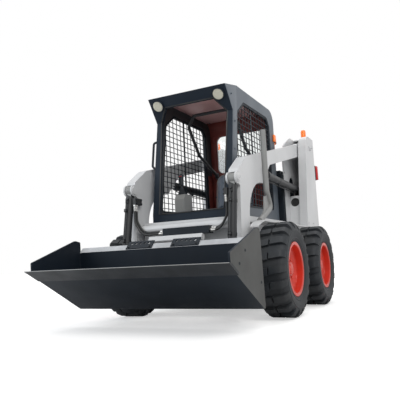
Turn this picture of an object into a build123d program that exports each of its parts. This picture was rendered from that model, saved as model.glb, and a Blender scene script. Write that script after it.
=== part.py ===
"""Skid-steer loader with a radial lift arm, as separate named pieces in millimetres.

Side-view points are (y, z): the front of the machine is -Y, its left side is +X and the ground
is z = 0. While it is built, y = 0 is midway between the axles; at export every piece moves along
Y so that the origin lies under the middle of the whole machine.
"""
import os
from math import atan2, cos, degrees, hypot, pi, radians, sin, tan

from build123d import *

# Fits
RUNNING_FIT = 0.06
SEAT_GAP = 0.3

# Wheels
WHEELBASE = 1046
TYRE_DIAMETER = 786
TYRE_WIDTH = 264
TYRE_SIDES = 20
LUG_HEIGHT = 24
LUG_WIDTH = 58
LUG_STAGGER = 24
LUG_SLANT_DEG = 8
RIM_RADIUS = 206
RIM_WALL = 10
RIM_FLANGE_HEIGHT = 17
RIM_WIDTH = 228
DISC_SET_IN = 95
DISC_THICKNESS = 14
HUB_RADIUS = 95
HUB_STANDOUT = 20
SPINDLE_RADIUS = 60
AXLE_RADIUS = 80

# Hull
GROUND_CLEARANCE = 205
HULL_WIDTH = 860
ARM_BAY = 182
OVERALL_WIDTH = HULL_WIDTH + 2 * (ARM_BAY + TYRE_WIDTH)
HULL_FRONT_Y = -800
HULL_REAR_Y = 1400
HULL_TOP_Z = 850
HULL_WALL = 15
ENGINE_BAY_FRONT_Y = 605
ENGINE_BAY_FLOOR_Z = 445
FENDER_Z = 800
FENDER_THICKNESS = 12
FENDER_OUTER_X = HULL_WIDTH / 2 + 210
FENDER_FRONT_Y = -600
FENDER_TONGUE = 160
GUARD_BAR_RADIUS = 26
GUARD_BAR_TOP_Z = 1640
TOW_PIN_RADIUS = 16
TOW_LUG_LENGTH = 105
TOW_LUG_THICKNESS = 30

# Towers that carry the lift arm
TOWER_INNER_X = HULL_WIDTH / 2
TOWER_OUTER_X = HULL_WIDTH / 2 + 122
TOWER_BOX = 88
TOWER_PLATE = 12
TOWER_TOP_Z = 1865
TOWER_FRONT_TOP = (954, 1737)
TOWER_FRONT_FOOT_Y = 785
TOWER_INNER_FRONT_Y = 690
TOWER_SLOT_Y = 970
TOWER_SLOT_Z = 1010
TOWER_SLOT_WIDTH = 200
TOWER_SLOT_HEIGHT = 380

# Lift arm and its cylinders
ARM_INNER_X = HULL_WIDTH / 2 + 25
ARM_THICKNESS = 85
ARM_CHEEK = 12
ARM_PIVOT = (1130, 1735)
ARM_PIVOT_PIN_RADIUS = 30
ARM_END_RADIUS = 75
ARM_KNEE = (-700, 1350)
ARM_NOSE_TOP = (-893, 1217)
ARM_LEG_FRONT_Y = -893
ARM_LEG_REAR_Y = -672
ARM_ARCH_Z = 1165
ARM_ARCH_RADIUS = 335
LIFT_BASE_PIN = (1200, 1235)
LIFT_ROD_PIN = (-265, 1280)
LIFT_BARREL_RADIUS = 38
LIFT_ROD_RADIUS = 22
LIFT_BARREL_END = 1285
TILT_BASE_PIN = (-905, 1145)
TILT_BARREL_RADIUS = 36
TILT_ROD_RADIUS = 20
TILT_BARREL_END = 640
CYLINDER_PIN_RADIUS = 22
EYE_RADIUS = 42
EYE_WIDTH = 50
CROSS_TUBE = (-850, 788)
CROSS_TUBE_RADIUS = 38
GUARD_WIDTH = HULL_WIDTH - 426
GUARD_CENTRE_X = 66

# Coupler and bucket, whose points are (forward-negative y, z) from the bucket pin with a level floor
BUCKET_PIN = (-935, 210)
BUCKET_PIN_RADIUS = 25
LEG_END_RADIUS = 62
ROLL_BACK_DEG = 29
TILT_LEVER = 205
TILT_LEVER_DEG = 30
BUCKET_WIDTH = 1630
BUCKET_HEEL = (-196, -201)
BUCKET_FLOOR_LENGTH = 719
BUCKET_BACK_LENGTH = 484
BUCKET_SIDE_LENGTH = 572
BUCKET_LIP_LENGTH = 55
BUCKET_LIP_DEG = 74
BUCKET_BACK_DEG = 58
BUCKET_HEEL_RADIUS = 20
BUCKET_PLATE = 14
BUCKET_SIDE_PLATE = 14
BUCKET_NOSE_HEIGHT = 80
EDGE_DEPTH = 160
EDGE_THICKNESS = 20
EDGE_OVERHANG = 13
COUPLER_WIDTH = HULL_WIDTH + 270
COUPLER_BAR = (-1000, 685)
COUPLER_BAR_WIDTH = HULL_WIDTH - 360
COUPLER_PLATE = 18
EAR_THICKNESS = 18
EAR_GAP = 6

# Cab
CAB_WIDTH = HULL_WIDTH - 76
CAB_WALL = 30
CAB_SILL_Z = 930
CAB_BASE_Z = HULL_TOP_Z
CAB_FRONT_Y = -712
CAB_TOP_Z = 2076
CAB_BROW = (-571, CAB_TOP_Z - 259)
CAB_VISOR = (-722, CAB_TOP_Z - 61)
CAB_ROOF_FRONT_Y = -446
CAB_REAR_Y = 580
CAB_REAR_RADIUS = 130
DOORWAY_WIDTH = CAB_WIDTH - 100
DOORWAY_TOP_Z = CAB_TOP_Z - 146
DOORWAY_CORNER = 95
SCREEN_FRAME = 22
SCREEN_BAR = 6
SCREEN_PITCH_Y = 75
SCREEN_PITCH_Z = 52
REAR_WINDOW_WIDTH = CAB_WIDTH - 224
REAR_WINDOW_LOW_Z = CAB_TOP_Z - 606
REAR_WINDOW_HIGH_Z = CAB_TOP_Z - 182
LAMP_RADIUS = 50
LAMP_DEPTH = 14
CAB_LAMP_Z = CAB_TOP_Z - 341
HANDLE_TOP_Z = CAB_TOP_Z - 436
HANDLE_LENGTH = 288

# Doors and controls
DOOR_LOW_Z = 470
DOOR_HIGH_Z = 1392
DOOR_THICKNESS = 36
DOOR_PIN_RADIUS = 8
LID_Z = 1400
LID_THICKNESS = 30
LID_PIN_Y = 725
LID_PIN_RADIUS = 10
CONSOLE_TOP_Z = 1150
PEDESTAL_TOP_Z = 905
SEAT_BAR_PIVOT = (CAB_REAR_Y - 115, CAB_TOP_Z - 646)
SEAT_BAR_RADIUS = 16
SEAT_BAR_HALF_WIDTH = CAB_WIDTH / 2 - 130

axle_z = TYRE_DIAMETER / 2
wheel_x = (OVERALL_WIDTH - TYRE_WIDTH) / 2
hull_x = HULL_WIDTH / 2
arm_x = ARM_INNER_X + ARM_THICKNESS / 2
arm_outer_x = ARM_INNER_X + ARM_THICKNESS
cab_x = CAB_WIDTH / 2
back_dir = (-cos(radians(BUCKET_BACK_DEG)), sin(radians(BUCKET_BACK_DEG)))
back_out = (back_dir[1], -back_dir[0])


def outline(points, radii=0):
    """A flat face from 2D points; radii is one corner radius or one for each point."""
    if radii == 0:
        return make_face(Polyline(*points, close=True))
    return make_face(FilletPolyline(*points, radius=radii, close=True))


def slab(points, x_low, x_high, radii=0):
    """A side-view outline of (y, z) points made solid between two X values."""
    return extrude(Plane.YZ.offset(x_low) * outline(points, radii), amount=x_high - x_low)


def pin(centre, radius, x_low, x_high):
    """A cylinder along X through a (y, z) point."""
    return extrude(Plane.YZ.offset(x_low) * Pos(*centre) * Circle(radius), amount=x_high - x_low)


def block(x, y, z):
    """A box from (low, high) pairs."""
    centre = Pos((x[0] + x[1]) / 2, (y[0] + y[1]) / 2, (z[0] + z[1]) / 2)
    return centre * Box(x[1] - x[0], y[1] - y[0], z[1] - z[0])


def bar_along_y(radius, y_low, y_high):
    """A cylinder on the Y axis."""
    return Pos(0, (y_low + y_high) / 2, 0) * Rot(X=90) * Cylinder(radius, y_high - y_low)


def tube(points, radius, bend):
    """A round bar along 3D points with rounded bends."""
    path = FilletPolyline(*points, radius=bend)
    return sweep(Plane(origin=path @ 0, z_dir=path % 0) * Circle(radius), path=path)


def other_side(shape):
    """The same piece on the machine's right."""
    return mirror(shape, about=Plane.YZ)


def both(shape):
    """The left piece and its mirror image as one node."""
    return Compound(children=[shape, other_side(shape)])


def along(start, direction, distance, out=(0, 0), offset=0):
    """A 2D point at a distance along a direction, then an offset along another."""
    return (
        start[0] + direction[0] * distance + out[0] * offset,
        start[1] + direction[1] * distance + out[1] * offset,
    )


def faceted_ring(points, sides):
    """A ring of flat sides about the X axis from an (x, distance) outline."""
    turn = 2 * pi / sides
    reach = 1 / cos(turn / 2)

    def corner(point, step):
        angle = (step + 0.5) * turn
        return Vector(point[0], -point[1] * reach * sin(angle), point[1] * reach * cos(angle))

    faces = []
    for step in range(sides):
        for low, high in zip(points, points[1:] + points[:1]):
            ring = [corner(low, step), corner(high, step), corner(high, step + 1), corner(low, step + 1)]
            faces.append(Face(Wire.make_polygon(ring, close=True)))
    return Solid(Shell(faces))


def lug(half, tip):
    """One tread block at the top of the tyre, from near its middle out over the shoulder."""
    root = tip - LUG_HEIGHT - 60
    points = [(6, root), (6, tip), (half - 34, tip), (half - 4, tip - 44), (half - 4, root)]
    shape = Pos(0, LUG_STAGGER / 2, 0) * extrude(Plane.XZ * outline(points), amount=LUG_WIDTH / 2, both=True)
    middle = Pos(half / 2, 0, 0)
    return middle * Rot(Z=LUG_SLANT_DEG) * middle.inverse() * shape


def tyre():
    """The tyre about the X axis: a ring of flat sides with a left and a right lug on each."""
    half = TYRE_WIDTH / 2
    tip = TYRE_DIAMETER / 2
    base = tip - LUG_HEIGHT
    bead = RIM_RADIUS + SEAT_GAP
    neck = RIM_WIDTH / 2 - RIM_WALL - SEAT_GAP
    lip = RIM_RADIUS + RIM_FLANGE_HEIGHT + 1
    side = [
        (neck, bead),
        (neck, lip),
        (half, lip + (tip - lip) * 0.45),
        (half - 26, base),
    ]
    carcass = faceted_ring(side + [(-x, r) for x, r in reversed(side)], TYRE_SIDES)
    right_lug = lug(half, tip)
    left_lug = Rot(Z=180) * right_lug
    lugs = []
    for step in range(TYRE_SIDES):
        turn = Rot(X=360 * step / TYRE_SIDES)
        lugs += [turn * right_lug, turn * left_lug]
    return carcass.fuse(*lugs)


def rim():
    """The dished rim about the X axis, with its outer face toward +X."""
    edge = RIM_WIDTH / 2
    seat = edge - RIM_WALL
    flange = RIM_RADIUS + RIM_FLANGE_HEIGHT
    inside = RIM_RADIUS - RIM_WALL
    face = edge - DISC_SET_IN
    back = face - DISC_THICKNESS
    cone = inside - HUB_RADIUS - 55
    bore = SPINDLE_RADIUS
    points = [
        (back - HUB_STANDOUT, bore),
        (face + HUB_STANDOUT, bore),
        (face + HUB_STANDOUT, HUB_RADIUS),
        (face, HUB_RADIUS),
        (face, inside - cone),
        (face + 36, inside),
        (edge - 6, inside),
        (edge, inside + 6),
        (edge, flange),
        (seat, flange),
        (seat, RIM_RADIUS),
        (-seat, RIM_RADIUS),
        (-seat, flange),
        (-edge, flange),
        (-edge, inside + 6),
        (6 - edge, inside),
        (back + 26, inside),
        (back, inside - cone - 6),
        (back, HUB_RADIUS),
        (back - HUB_STANDOUT, HUB_RADIUS),
    ]
    return revolve(outline(points), axis=Axis.X)


def axle_housing(y):
    """A fixed axle from the hull's side to the spindle that a wheel runs on."""
    hub_back = wheel_x + RIM_WIDTH / 2 - DISC_SET_IN - DISC_THICKNESS - HUB_STANDOUT
    hub_front = wheel_x + RIM_WIDTH / 2 - DISC_SET_IN + HUB_STANDOUT
    centre = (y, axle_z)
    body = pin(centre, AXLE_RADIUS, hull_x, hub_back - 30)
    body += pin(centre, AXLE_RADIUS + 28, hub_back - 34, hub_back - 10)
    body += pin(centre, SPINDLE_RADIUS - RUNNING_FIT, hub_back - 12, hub_front + 14)
    return body + pin(centre, SPINDLE_RADIUS - 14, hub_front + 12, hub_front + 26)


def main_frame():
    """The closed hull, open at the engine bay, with tow lugs at the rear."""
    shape = slab(
        [
            (HULL_FRONT_Y, HULL_TOP_Z),
            (HULL_FRONT_Y, HULL_TOP_Z - 280),
            (HULL_FRONT_Y + 150, GROUND_CLEARANCE),
            (HULL_REAR_Y - 420, GROUND_CLEARANCE),
            (HULL_REAR_Y, GROUND_CLEARANCE + 225),
            (HULL_REAR_Y, HULL_TOP_Z),
        ],
        -hull_x,
        hull_x,
    )
    bay_x = hull_x - HULL_WALL
    shape -= block(
        (-bay_x, bay_x),
        (ENGINE_BAY_FRONT_Y, HULL_REAR_Y + 1),
        (ENGINE_BAY_FLOOR_Z, HULL_TOP_Z + 1),
    )
    lug_z = GROUND_CLEARANCE + 150
    root_y = HULL_REAR_Y - 200
    lug = block((-45, 45), (root_y, HULL_REAR_Y + TOW_LUG_LENGTH), (lug_z, lug_z + TOW_LUG_THICKNESS))
    eye_y = HULL_REAR_Y + TOW_LUG_LENGTH - 38
    lug -= Pos(0, eye_y, lug_z) * Cylinder(TOW_PIN_RADIUS, 4 * TOW_LUG_THICKNESS)
    return shape + lug


def fender():
    """The left shelf above the tyres, from the tower forward, with its turned-down edge."""
    top = FENDER_Z + FENDER_THICKNESS
    shelf = block((hull_x, FENDER_OUTER_X), (FENDER_FRONT_Y, TOWER_FRONT_FOOT_Y), (FENDER_Z, top))
    rail = block((hull_x, hull_x + 12), (FENDER_FRONT_Y, TOWER_INNER_FRONT_Y), (top, HULL_TOP_Z + 20))
    bend = FENDER_FRONT_Y - FENDER_TONGUE * 0.55
    tip = FENDER_FRONT_Y - FENDER_TONGUE
    tongue = slab(
        [
            (FENDER_FRONT_Y, FENDER_Z),
            (FENDER_FRONT_Y, top),
            (bend, top - 18),
            (tip, top - 54),
            (tip, FENDER_Z - 54),
            (bend, FENDER_Z - 18),
        ],
        arm_outer_x + 22,
        FENDER_OUTER_X,
    )
    return shelf + rail + tongue


def guard_bar():
    """The bent bar that stands on the left fender outside the arm, with its gusset."""
    top = FENDER_Z + FENDER_THICKNESS
    x = (arm_outer_x + FENDER_OUTER_X) / 2
    foot_y = FENDER_FRONT_Y + 10
    upright_y = FENDER_FRONT_Y + 228
    path = [
        (x, foot_y, top - 5),
        (x, foot_y + 300, top + 128),
        (x, upright_y, top + 268),
        (x, upright_y, GUARD_BAR_TOP_Z),
    ]
    bar = tube(path, GUARD_BAR_RADIUS, 45)
    bar -= block((x - 60, x + 60), (foot_y - 200, foot_y + 400), (top - 90, top))
    gusset = slab(
        [
            (foot_y + 30, top),
            (foot_y + 285, top + 115),
            (upright_y + 12, top + 235),
            (upright_y - 85, top + 215),
            (upright_y - 105, top + 100),
        ],
        x - 5,
        x + 5,
        22,
    )
    return bar + gusset


def tower():
    """The left upright: an inner plate and an outer box joined at the rear, top and foot, with both pins."""
    inner_low = TOWER_INNER_X
    outer_high = TOWER_OUTER_X + TOWER_BOX
    foot = FENDER_Z + FENDER_THICKNESS
    rear = HULL_REAR_Y
    outer = slab(
        [
            (TOWER_FRONT_FOOT_Y, foot),
            (rear, foot),
            (rear, TOWER_TOP_Z),
            (ARM_PIVOT[0] - 120, TOWER_TOP_Z),
            TOWER_FRONT_TOP,
        ],
        TOWER_OUTER_X,
        outer_high,
        [0, 0, 30, 100, 120],
    )
    inner = slab(
        [
            (TOWER_INNER_FRONT_Y, foot),
            (TOWER_FRONT_FOOT_Y, foot),
            (TOWER_FRONT_FOOT_Y, foot - 200),
            (rear, foot - 200),
            (rear, TOWER_TOP_Z),
            (ARM_PIVOT[0] - 120, TOWER_TOP_Z),
            (TOWER_INNER_FRONT_Y, TOWER_FRONT_TOP[1] - 30),
        ],
        inner_low,
        inner_low + TOWER_PLATE,
        [0, 0, 0, 0, 30, 150, 150],
    )
    reach = TOWER_SLOT_HEIGHT - TOWER_SLOT_WIDTH
    slot_low = TOWER_SLOT_Z + TOWER_SLOT_WIDTH / 2
    left = TOWER_SLOT_Y - TOWER_SLOT_WIDTH / 2
    right = TOWER_SLOT_Y + TOWER_SLOT_WIDTH / 2
    inner -= pin((TOWER_SLOT_Y, slot_low), TOWER_SLOT_WIDTH / 2, inner_low - 1, inner_low + 50)
    inner -= pin((TOWER_SLOT_Y, slot_low + reach), TOWER_SLOT_WIDTH / 2, inner_low - 1, inner_low + 50)
    inner -= block((inner_low - 1, inner_low + 50), (left, right), (slot_low, slot_low + reach))
    lid_z = LID_Z + LID_THICKNESS / 2
    inner -= pin((LID_PIN_Y, lid_z), LID_PIN_RADIUS + RUNNING_FIT, inner_low - 1, inner_low + 50)
    shape = outer + inner
    shape += block((inner_low, outer_high), (rear - TOWER_PLATE, rear), (foot, TOWER_TOP_Z - 30))
    shape += block((inner_low, outer_high), (TOWER_FRONT_FOOT_Y, rear), (foot, foot + TOWER_PLATE))
    top_front = ARM_PIVOT[0] + 40
    shape += block(
        (inner_low, outer_high), (top_front, rear - 32), (TOWER_TOP_Z - TOWER_PLATE, TOWER_TOP_Z)
    )
    corner = Pos(0, 0, foot - 1) * outline([(outer_high - 55, rear), (outer_high, rear - 100), (outer_high + 9, rear)])
    shape -= extrude(corner, amount=TOWER_TOP_Z)
    shape += pin(LIFT_BASE_PIN, CYLINDER_PIN_RADIUS, inner_low, outer_high)
    shape += pin(ARM_PIVOT, ARM_PIVOT_PIN_RADIUS, inner_low, outer_high + 8)
    shape += pin((ARM_PIVOT[0] + 95, ARM_PIVOT[1] + 25), 14, outer_high - 1, outer_high + 10)
    return shape


def door_hinge_axis():
    """Where the rear door's upright pins stand, as (x, y)."""
    return -TOWER_INNER_X, HULL_REAR_Y + 28


def door_lugs():
    """The hinge lugs and pins on the right upright that carry the rear door."""
    x, y = door_hinge_axis()
    lugs = []
    for z in door_hinge_heights():
        lug = block((x - 50, x), (HULL_REAR_Y - 1, y), (z - 22, z - 2))
        lug += Pos(x, y, z - 12) * Cylinder(14, 20)
        lugs.append(lug + Pos(x, y, z + 14) * Cylinder(DOOR_PIN_RADIUS, 36))
    return lugs[0] + lugs[1]


def door_hinge_heights():
    """The two heights at which the rear door hangs."""
    span = DOOR_HIGH_Z - DOOR_LOW_Z
    return HULL_TOP_Z + 30, DOOR_LOW_Z + span * 0.86


def rear_door():
    """The rear door with its vent slots, handle bar and hinge knuckles."""
    inside = TOWER_INNER_X - 18
    low_y = HULL_REAR_Y + 4
    high_y = low_y + DOOR_THICKNESS
    leaf = block((-inside, inside), (low_y, high_y), (DOOR_LOW_Z, DOOR_HIGH_Z))
    leaf -= block((20 - inside, inside - 20), (low_y - 1, high_y - 12), (DOOR_LOW_Z + 20, DOOR_HIGH_Z - 20))
    for row in range(6):
        z = DOOR_HIGH_Z - 130 - row * 60
        leaf -= block((-inside * 0.7, inside * 0.7), (low_y, high_y + 1), (z, z + 26))
    leaf += block((inside - 120, inside - 90), (high_y - 1, high_y + 16), (980, 1120))
    x, y = door_hinge_axis()
    for z in door_hinge_heights():
        knuckle = Pos(x, y, z + 22) * Cylinder(16, 44)
        knuckle += block((x, x + 60), (y - 12, high_y - 1), (z, z + 44))
        knuckle -= Pos(x, y, z + 20) * Cylinder(DOOR_PIN_RADIUS + RUNNING_FIT, 60)
        leaf += knuckle
    return leaf


def engine_lid():
    """The slotted lid over the engine bay, on two stub pins in the towers."""
    inside = TOWER_INNER_X - 12
    front = ENGINE_BAY_FRONT_Y + 20
    rear = HULL_REAR_Y - 15
    shape = block((-inside, inside), (front, rear), (LID_Z, LID_Z + LID_THICKNESS))
    shape -= block((25 - inside, inside - 25), (front + 25, rear - 25), (LID_Z - 1, LID_Z + LID_THICKNESS - 12))
    for row in range(9):
        y = front + 110 + row * 68
        shape -= block((-inside * 0.8, inside * 0.8), (y, y + 38), (LID_Z, LID_Z + LID_THICKNESS + 1))
    lid_z = LID_Z + LID_THICKNESS / 2
    stub = pin((LID_PIN_Y, lid_z), LID_PIN_RADIUS, inside - 30, TOWER_INNER_X + TOWER_PLATE - 2)
    return shape + stub + other_side(stub)


def engine_block():
    """A plain engine on the bay floor."""
    y = ENGINE_BAY_FRONT_Y
    z = ENGINE_BAY_FLOOR_Z
    shape = block((-240, 240), (y + 90, y + 640), (z, z + 560))
    return shape + block((-150, 150), (y + 140, y + 560), (z + 555, z + 720))


def lift_arm():
    """The left arm: beam, knee and leg in one plate box, with its pins and slots."""
    pivot_y, pivot_z = ARM_PIVOT
    end = ARM_END_RADIUS
    pin_y, pin_z = BUCKET_PIN
    base_y, base_z = TILT_BASE_PIN
    points = [
        (pivot_y + 5, pivot_z + end - 2),
        ARM_KNEE,
        ARM_NOSE_TOP,
        (base_y + 5, base_z - 40),
        (base_y + 45, base_z - 62),
        (ARM_LEG_FRONT_Y, 700),
        (ARM_LEG_FRONT_Y, pin_z + 300),
        (pin_y - 50, pin_z + 35),
        (pin_y + 45, pin_z - 42),
        (ARM_LEG_REAR_Y - 30, pin_z + 330),
        (ARM_LEG_REAR_Y, ARM_ARCH_Z),
        (ARM_LEG_REAR_Y + ARM_ARCH_RADIUS + 25, ARM_ARCH_Z),
        (-75, 1372),
        (pivot_y + 20, pivot_z - end + 4),
    ]
    radii = [30, 60, 40, 0, 0, 0, 120, 0, 0, 200, ARM_ARCH_RADIUS, 15, 80, 30]
    low = ARM_INNER_X
    high = arm_outer_x
    shape = slab(points, low, high, radii)
    shape += pin(ARM_PIVOT, end, low, high)
    shape += pin(BUCKET_PIN, LEG_END_RADIUS, low, high)
    shape += pin(TILT_BASE_PIN, 50, low, high)
    cheek = (low + ARM_CHEEK, high - ARM_CHEEK)
    shape -= block(cheek, (base_y - 70, base_y + EYE_RADIUS + 8), (base_z - 70, base_z + EYE_RADIUS + 8))
    shape -= block(cheek, (pin_y - 100, pin_y - BUCKET_PIN_RADIUS - 8), (pin_z - 100, pin_z + 190))
    rod_y, rod_z = LIFT_ROD_PIN
    roof = rod_z + EYE_RADIUS + 12
    shape -= block(cheek, (rod_y - EYE_RADIUS - 12, rod_y + 230), (rod_z - 200, roof))
    shape -= pin(ARM_PIVOT, ARM_PIVOT_PIN_RADIUS + RUNNING_FIT, low - 1, high + 1)
    shape -= pin(BUCKET_PIN, BUCKET_PIN_RADIUS + RUNNING_FIT, low - 1, high + 1)
    shape += pin(TILT_BASE_PIN, CYLINDER_PIN_RADIUS, low, high)
    for centre, radius in ((TILT_BASE_PIN, 38), (LIFT_ROD_PIN, 40)):
        shape += pin(centre, radius, high - 1, high + 9)
        shape += pin(centre, radius, low - 9, low + 1)
    return shape


def cross_tube():
    """The tube between the two legs."""
    return pin(CROSS_TUBE, CROSS_TUBE_RADIUS, -ARM_INNER_X, ARM_INNER_X)


def hose_guard():
    """The dark channel on the front of the cross tube."""
    y, z = CROSS_TUBE
    low = GUARD_CENTRE_X - GUARD_WIDTH / 2
    high = GUARD_CENTRE_X + GUARD_WIDTH / 2
    shape = block((low, high), (y - 105, y - 20), (z - 70, z - 8))
    return shape - pin(CROSS_TUBE, CROSS_TUBE_RADIUS + SEAT_GAP, low - 1, high + 1)


def arm_hoses(end_x):
    """The left pair of hoses with their fitting block, from the arm's nose to the guard's end."""
    x = ARM_INNER_X
    y = CROSS_TUBE[0] - CROSS_TUBE_RADIUS - 17
    z = TILT_BASE_PIN[1] - 75
    shape = block((x - 32, x), (y - 35, y + 65), (z - 60, z))
    for index in range(2):
        run_y = y - 24 * index
        low_z = CROSS_TUBE[1] - 30 - 18 * index
        path = [
            (x - 16, run_y, z - 50),
            (x - 16, run_y, low_z + 110),
            (x - 85, run_y, low_z),
            (end_x, run_y, low_z),
        ]
        shape += tube(path, 10, 100)
    return shape


def cylinder_frame(base, rod):
    """The direction, length and angle from a barrel's pin to its rod's pin."""
    y = rod[0] - base[0]
    z = rod[1] - base[1]
    return hypot(y, z), degrees(atan2(z, y))


def barrel(base, rod, radius, rod_radius, end, port):
    """A left cylinder barrel with its eye, bored for the rod."""
    length, angle = cylinder_frame(base, rod)
    neck = EYE_RADIUS + 18
    wide = EYE_WIDTH / 2
    shape = pin((0, 0), EYE_RADIUS, -wide, wide)
    shape += block((-wide, wide), (0, neck + 2), (-24, 24))
    shape += bar_along_y(radius, neck, end)
    shape += bar_along_y(radius + 5, end - 46, end)
    shape += block((-14, 14), (neck + 20, neck + 64), (port * radius - 10, port * radius + 10))
    shape -= bar_along_y(rod_radius + RUNNING_FIT, neck + 25, end + 1)
    shape -= pin((0, 0), CYLINDER_PIN_RADIUS + RUNNING_FIT, -wide - 1, wide + 1)
    return Pos(arm_x, base[0], base[1]) * Rot(X=angle) * shape


def rod(base, rod_pin, radius, start):
    """A left cylinder rod with its eye, reaching back into the barrel."""
    length, angle = cylinder_frame(base, rod_pin)
    wide = EYE_WIDTH / 2
    shape = pin((length, 0), EYE_RADIUS, -wide, wide)
    shape += bar_along_y(radius, start, length - EYE_RADIUS + 4)
    shape -= pin((length, 0), CYLINDER_PIN_RADIUS, -wide - 1, wide + 1)
    return Pos(arm_x, base[0], base[1]) * Rot(X=angle) * shape


def tilt_rod_pin():
    """The tilt rod's pin with the bucket rolled back, as (y, z)."""
    up = atan2(TILT_BASE_PIN[1] - BUCKET_PIN[1], TILT_BASE_PIN[0] - BUCKET_PIN[0])
    turn = up + radians(TILT_LEVER_DEG)
    return BUCKET_PIN[0] + TILT_LEVER * cos(turn), BUCKET_PIN[1] + TILT_LEVER * sin(turn)


def level_point(point):
    """A machine (y, z) point in the bucket's own level frame."""
    y = point[0] - BUCKET_PIN[0]
    z = point[1] - BUCKET_PIN[1]
    turn = radians(ROLL_BACK_DEG)
    return y * cos(turn) - z * sin(turn), y * sin(turn) + z * cos(turn)


def rolled_back(shape):
    """A piece from the bucket's level frame, placed on its pin and rolled back."""
    return Pos(0, *BUCKET_PIN) * Rot(X=-ROLL_BACK_DEG) * shape


def coupler():
    """The plate that carries the bucket, with four ears on the arm's legs and the pins."""
    half = COUPLER_WIDTH / 2
    seat = COUPLER_PLATE
    low = along(BUCKET_HEEL, back_dir, 95)
    high = along(BUCKET_HEEL, back_dir, BUCKET_BACK_LENGTH - 20)
    shape = slab(
        [low, high, along(high, back_dir, 0, back_out, seat), along(low, back_dir, 0, back_out, seat)],
        -half,
        half,
    )
    bar_y, bar_z = level_point(COUPLER_BAR)
    bar_half = COUPLER_BAR_WIDTH / 2
    bar = slab(
        [(bar_y - 25, bar_z - 25), (bar_y + 25, bar_z - 25), (bar_y + 25, bar_z + 25), (bar_y - 25, bar_z + 25)],
        -bar_half,
        bar_half,
        8,
    )
    rib = slab(
        [
            along(high, back_dir, -140, back_out, seat - 1),
            along(high, back_dir, -10, back_out, seat - 1),
            (bar_y - 10, bar_z + 20),
            (bar_y + 20, bar_z - 20),
        ],
        bar_half - 45,
        bar_half - 30,
    )
    shape += bar + rib + other_side(rib)
    lever_y, lever_z = level_point(tilt_rod_pin())
    inner = ARM_INNER_X - EAR_GAP
    outer = arm_outer_x + EAR_GAP
    ear = [
        along(BUCKET_HEEL, back_dir, 110, back_out, seat - 1),
        along(BUCKET_HEEL, back_dir, 430, back_out, seat - 1),
        (lever_y - 10, lever_z + 46),
        (lever_y + 42, lever_z + 20),
        (LEG_END_RADIUS - 10, 25),
        (15, -LEG_END_RADIUS + 2),
    ]
    for x_low in (inner - EAR_THICKNESS, outer):
        x_high = x_low + EAR_THICKNESS
        plate = slab(ear, x_low, x_high)
        plate += pin((lever_y, lever_z), 46, x_low, x_high)
        plate += pin((0, 0), LEG_END_RADIUS, x_low, x_high)
        shape += plate + other_side(plate)
    pivot = pin((0, 0), BUCKET_PIN_RADIUS, inner - EAR_THICKNESS, outer + EAR_THICKNESS + 6)
    shape += pivot + other_side(pivot)
    return rolled_back(shape)


def bucket_shell():
    """The bent floor and back, with a top lip turned to the rear."""
    half = BUCKET_WIDTH / 2 - BUCKET_SIDE_PLATE
    t = BUCKET_PLATE
    front = (BUCKET_HEEL[0] - BUCKET_FLOOR_LENGTH + EDGE_DEPTH, BUCKET_HEEL[1])
    top = along(BUCKET_HEEL, back_dir, BUCKET_BACK_LENGTH)
    inset = t / tan(radians((BUCKET_BACK_DEG) / 2))
    inner_heel = (BUCKET_HEEL[0] - inset, BUCKET_HEEL[1] + t)
    inner_top = along(top, back_dir, 0, back_out, -t)
    outside = FilletPolyline(front, BUCKET_HEEL, top, radius=BUCKET_HEEL_RADIUS)
    inside = FilletPolyline(inner_top, inner_heel, (front[0], front[1] + t), radius=BUCKET_HEEL_RADIUS - t)
    face = make_face([outside, Line(top, inner_top), inside, Line((front[0], front[1] + t), front)])
    shape = extrude(Plane.YZ.offset(-half) * face, amount=2 * half)
    lip_dir = (cos(radians(BUCKET_LIP_DEG)), sin(radians(BUCKET_LIP_DEG)))
    lip = [
        inner_top,
        along(inner_top, lip_dir, BUCKET_LIP_LENGTH),
        along(top, lip_dir, BUCKET_LIP_LENGTH),
        top,
        along(top, back_dir, -t),
        along(inner_top, back_dir, -t),
    ]
    return rolled_back(shape + slab(lip, -half, half))


def bucket_sides():
    """The two side plates, standing on the cutting edge."""
    tip_y = BUCKET_HEEL[0] - BUCKET_FLOOR_LENGTH
    floor_z = BUCKET_HEEL[1]
    on_edge = floor_z + EDGE_THICKNESS + SEAT_GAP
    top = along(BUCKET_HEEL, back_dir, BUCKET_SIDE_LENGTH)
    half = BUCKET_WIDTH / 2
    points = [
        (tip_y + EDGE_DEPTH + SEAT_GAP, floor_z),
        BUCKET_HEEL,
        top,
        (top[0] - 60, top[1] - 20),
        (tip_y + 12, floor_z + BUCKET_NOSE_HEIGHT),
        (tip_y + 48, on_edge),
        (tip_y + EDGE_DEPTH + SEAT_GAP, on_edge),
    ]
    plate = slab(points, half - BUCKET_SIDE_PLATE, half, [0, BUCKET_HEEL_RADIUS, 12, 40, 10, 0, 0])
    return both(rolled_back(plate))


def cutting_edge():
    """The bevelled edge plate along the front of the floor, longer than the bucket at both ends."""
    half = BUCKET_WIDTH / 2 + EDGE_OVERHANG
    y = BUCKET_HEEL[0] - BUCKET_FLOOR_LENGTH
    z = BUCKET_HEEL[1]
    t = EDGE_THICKNESS
    points = [(y, z), (y + EDGE_DEPTH, z), (y + EDGE_DEPTH, z + t), (y + 45, z + t), (y, z + 5)]
    return rolled_back(slab(points, -half, half))


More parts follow.
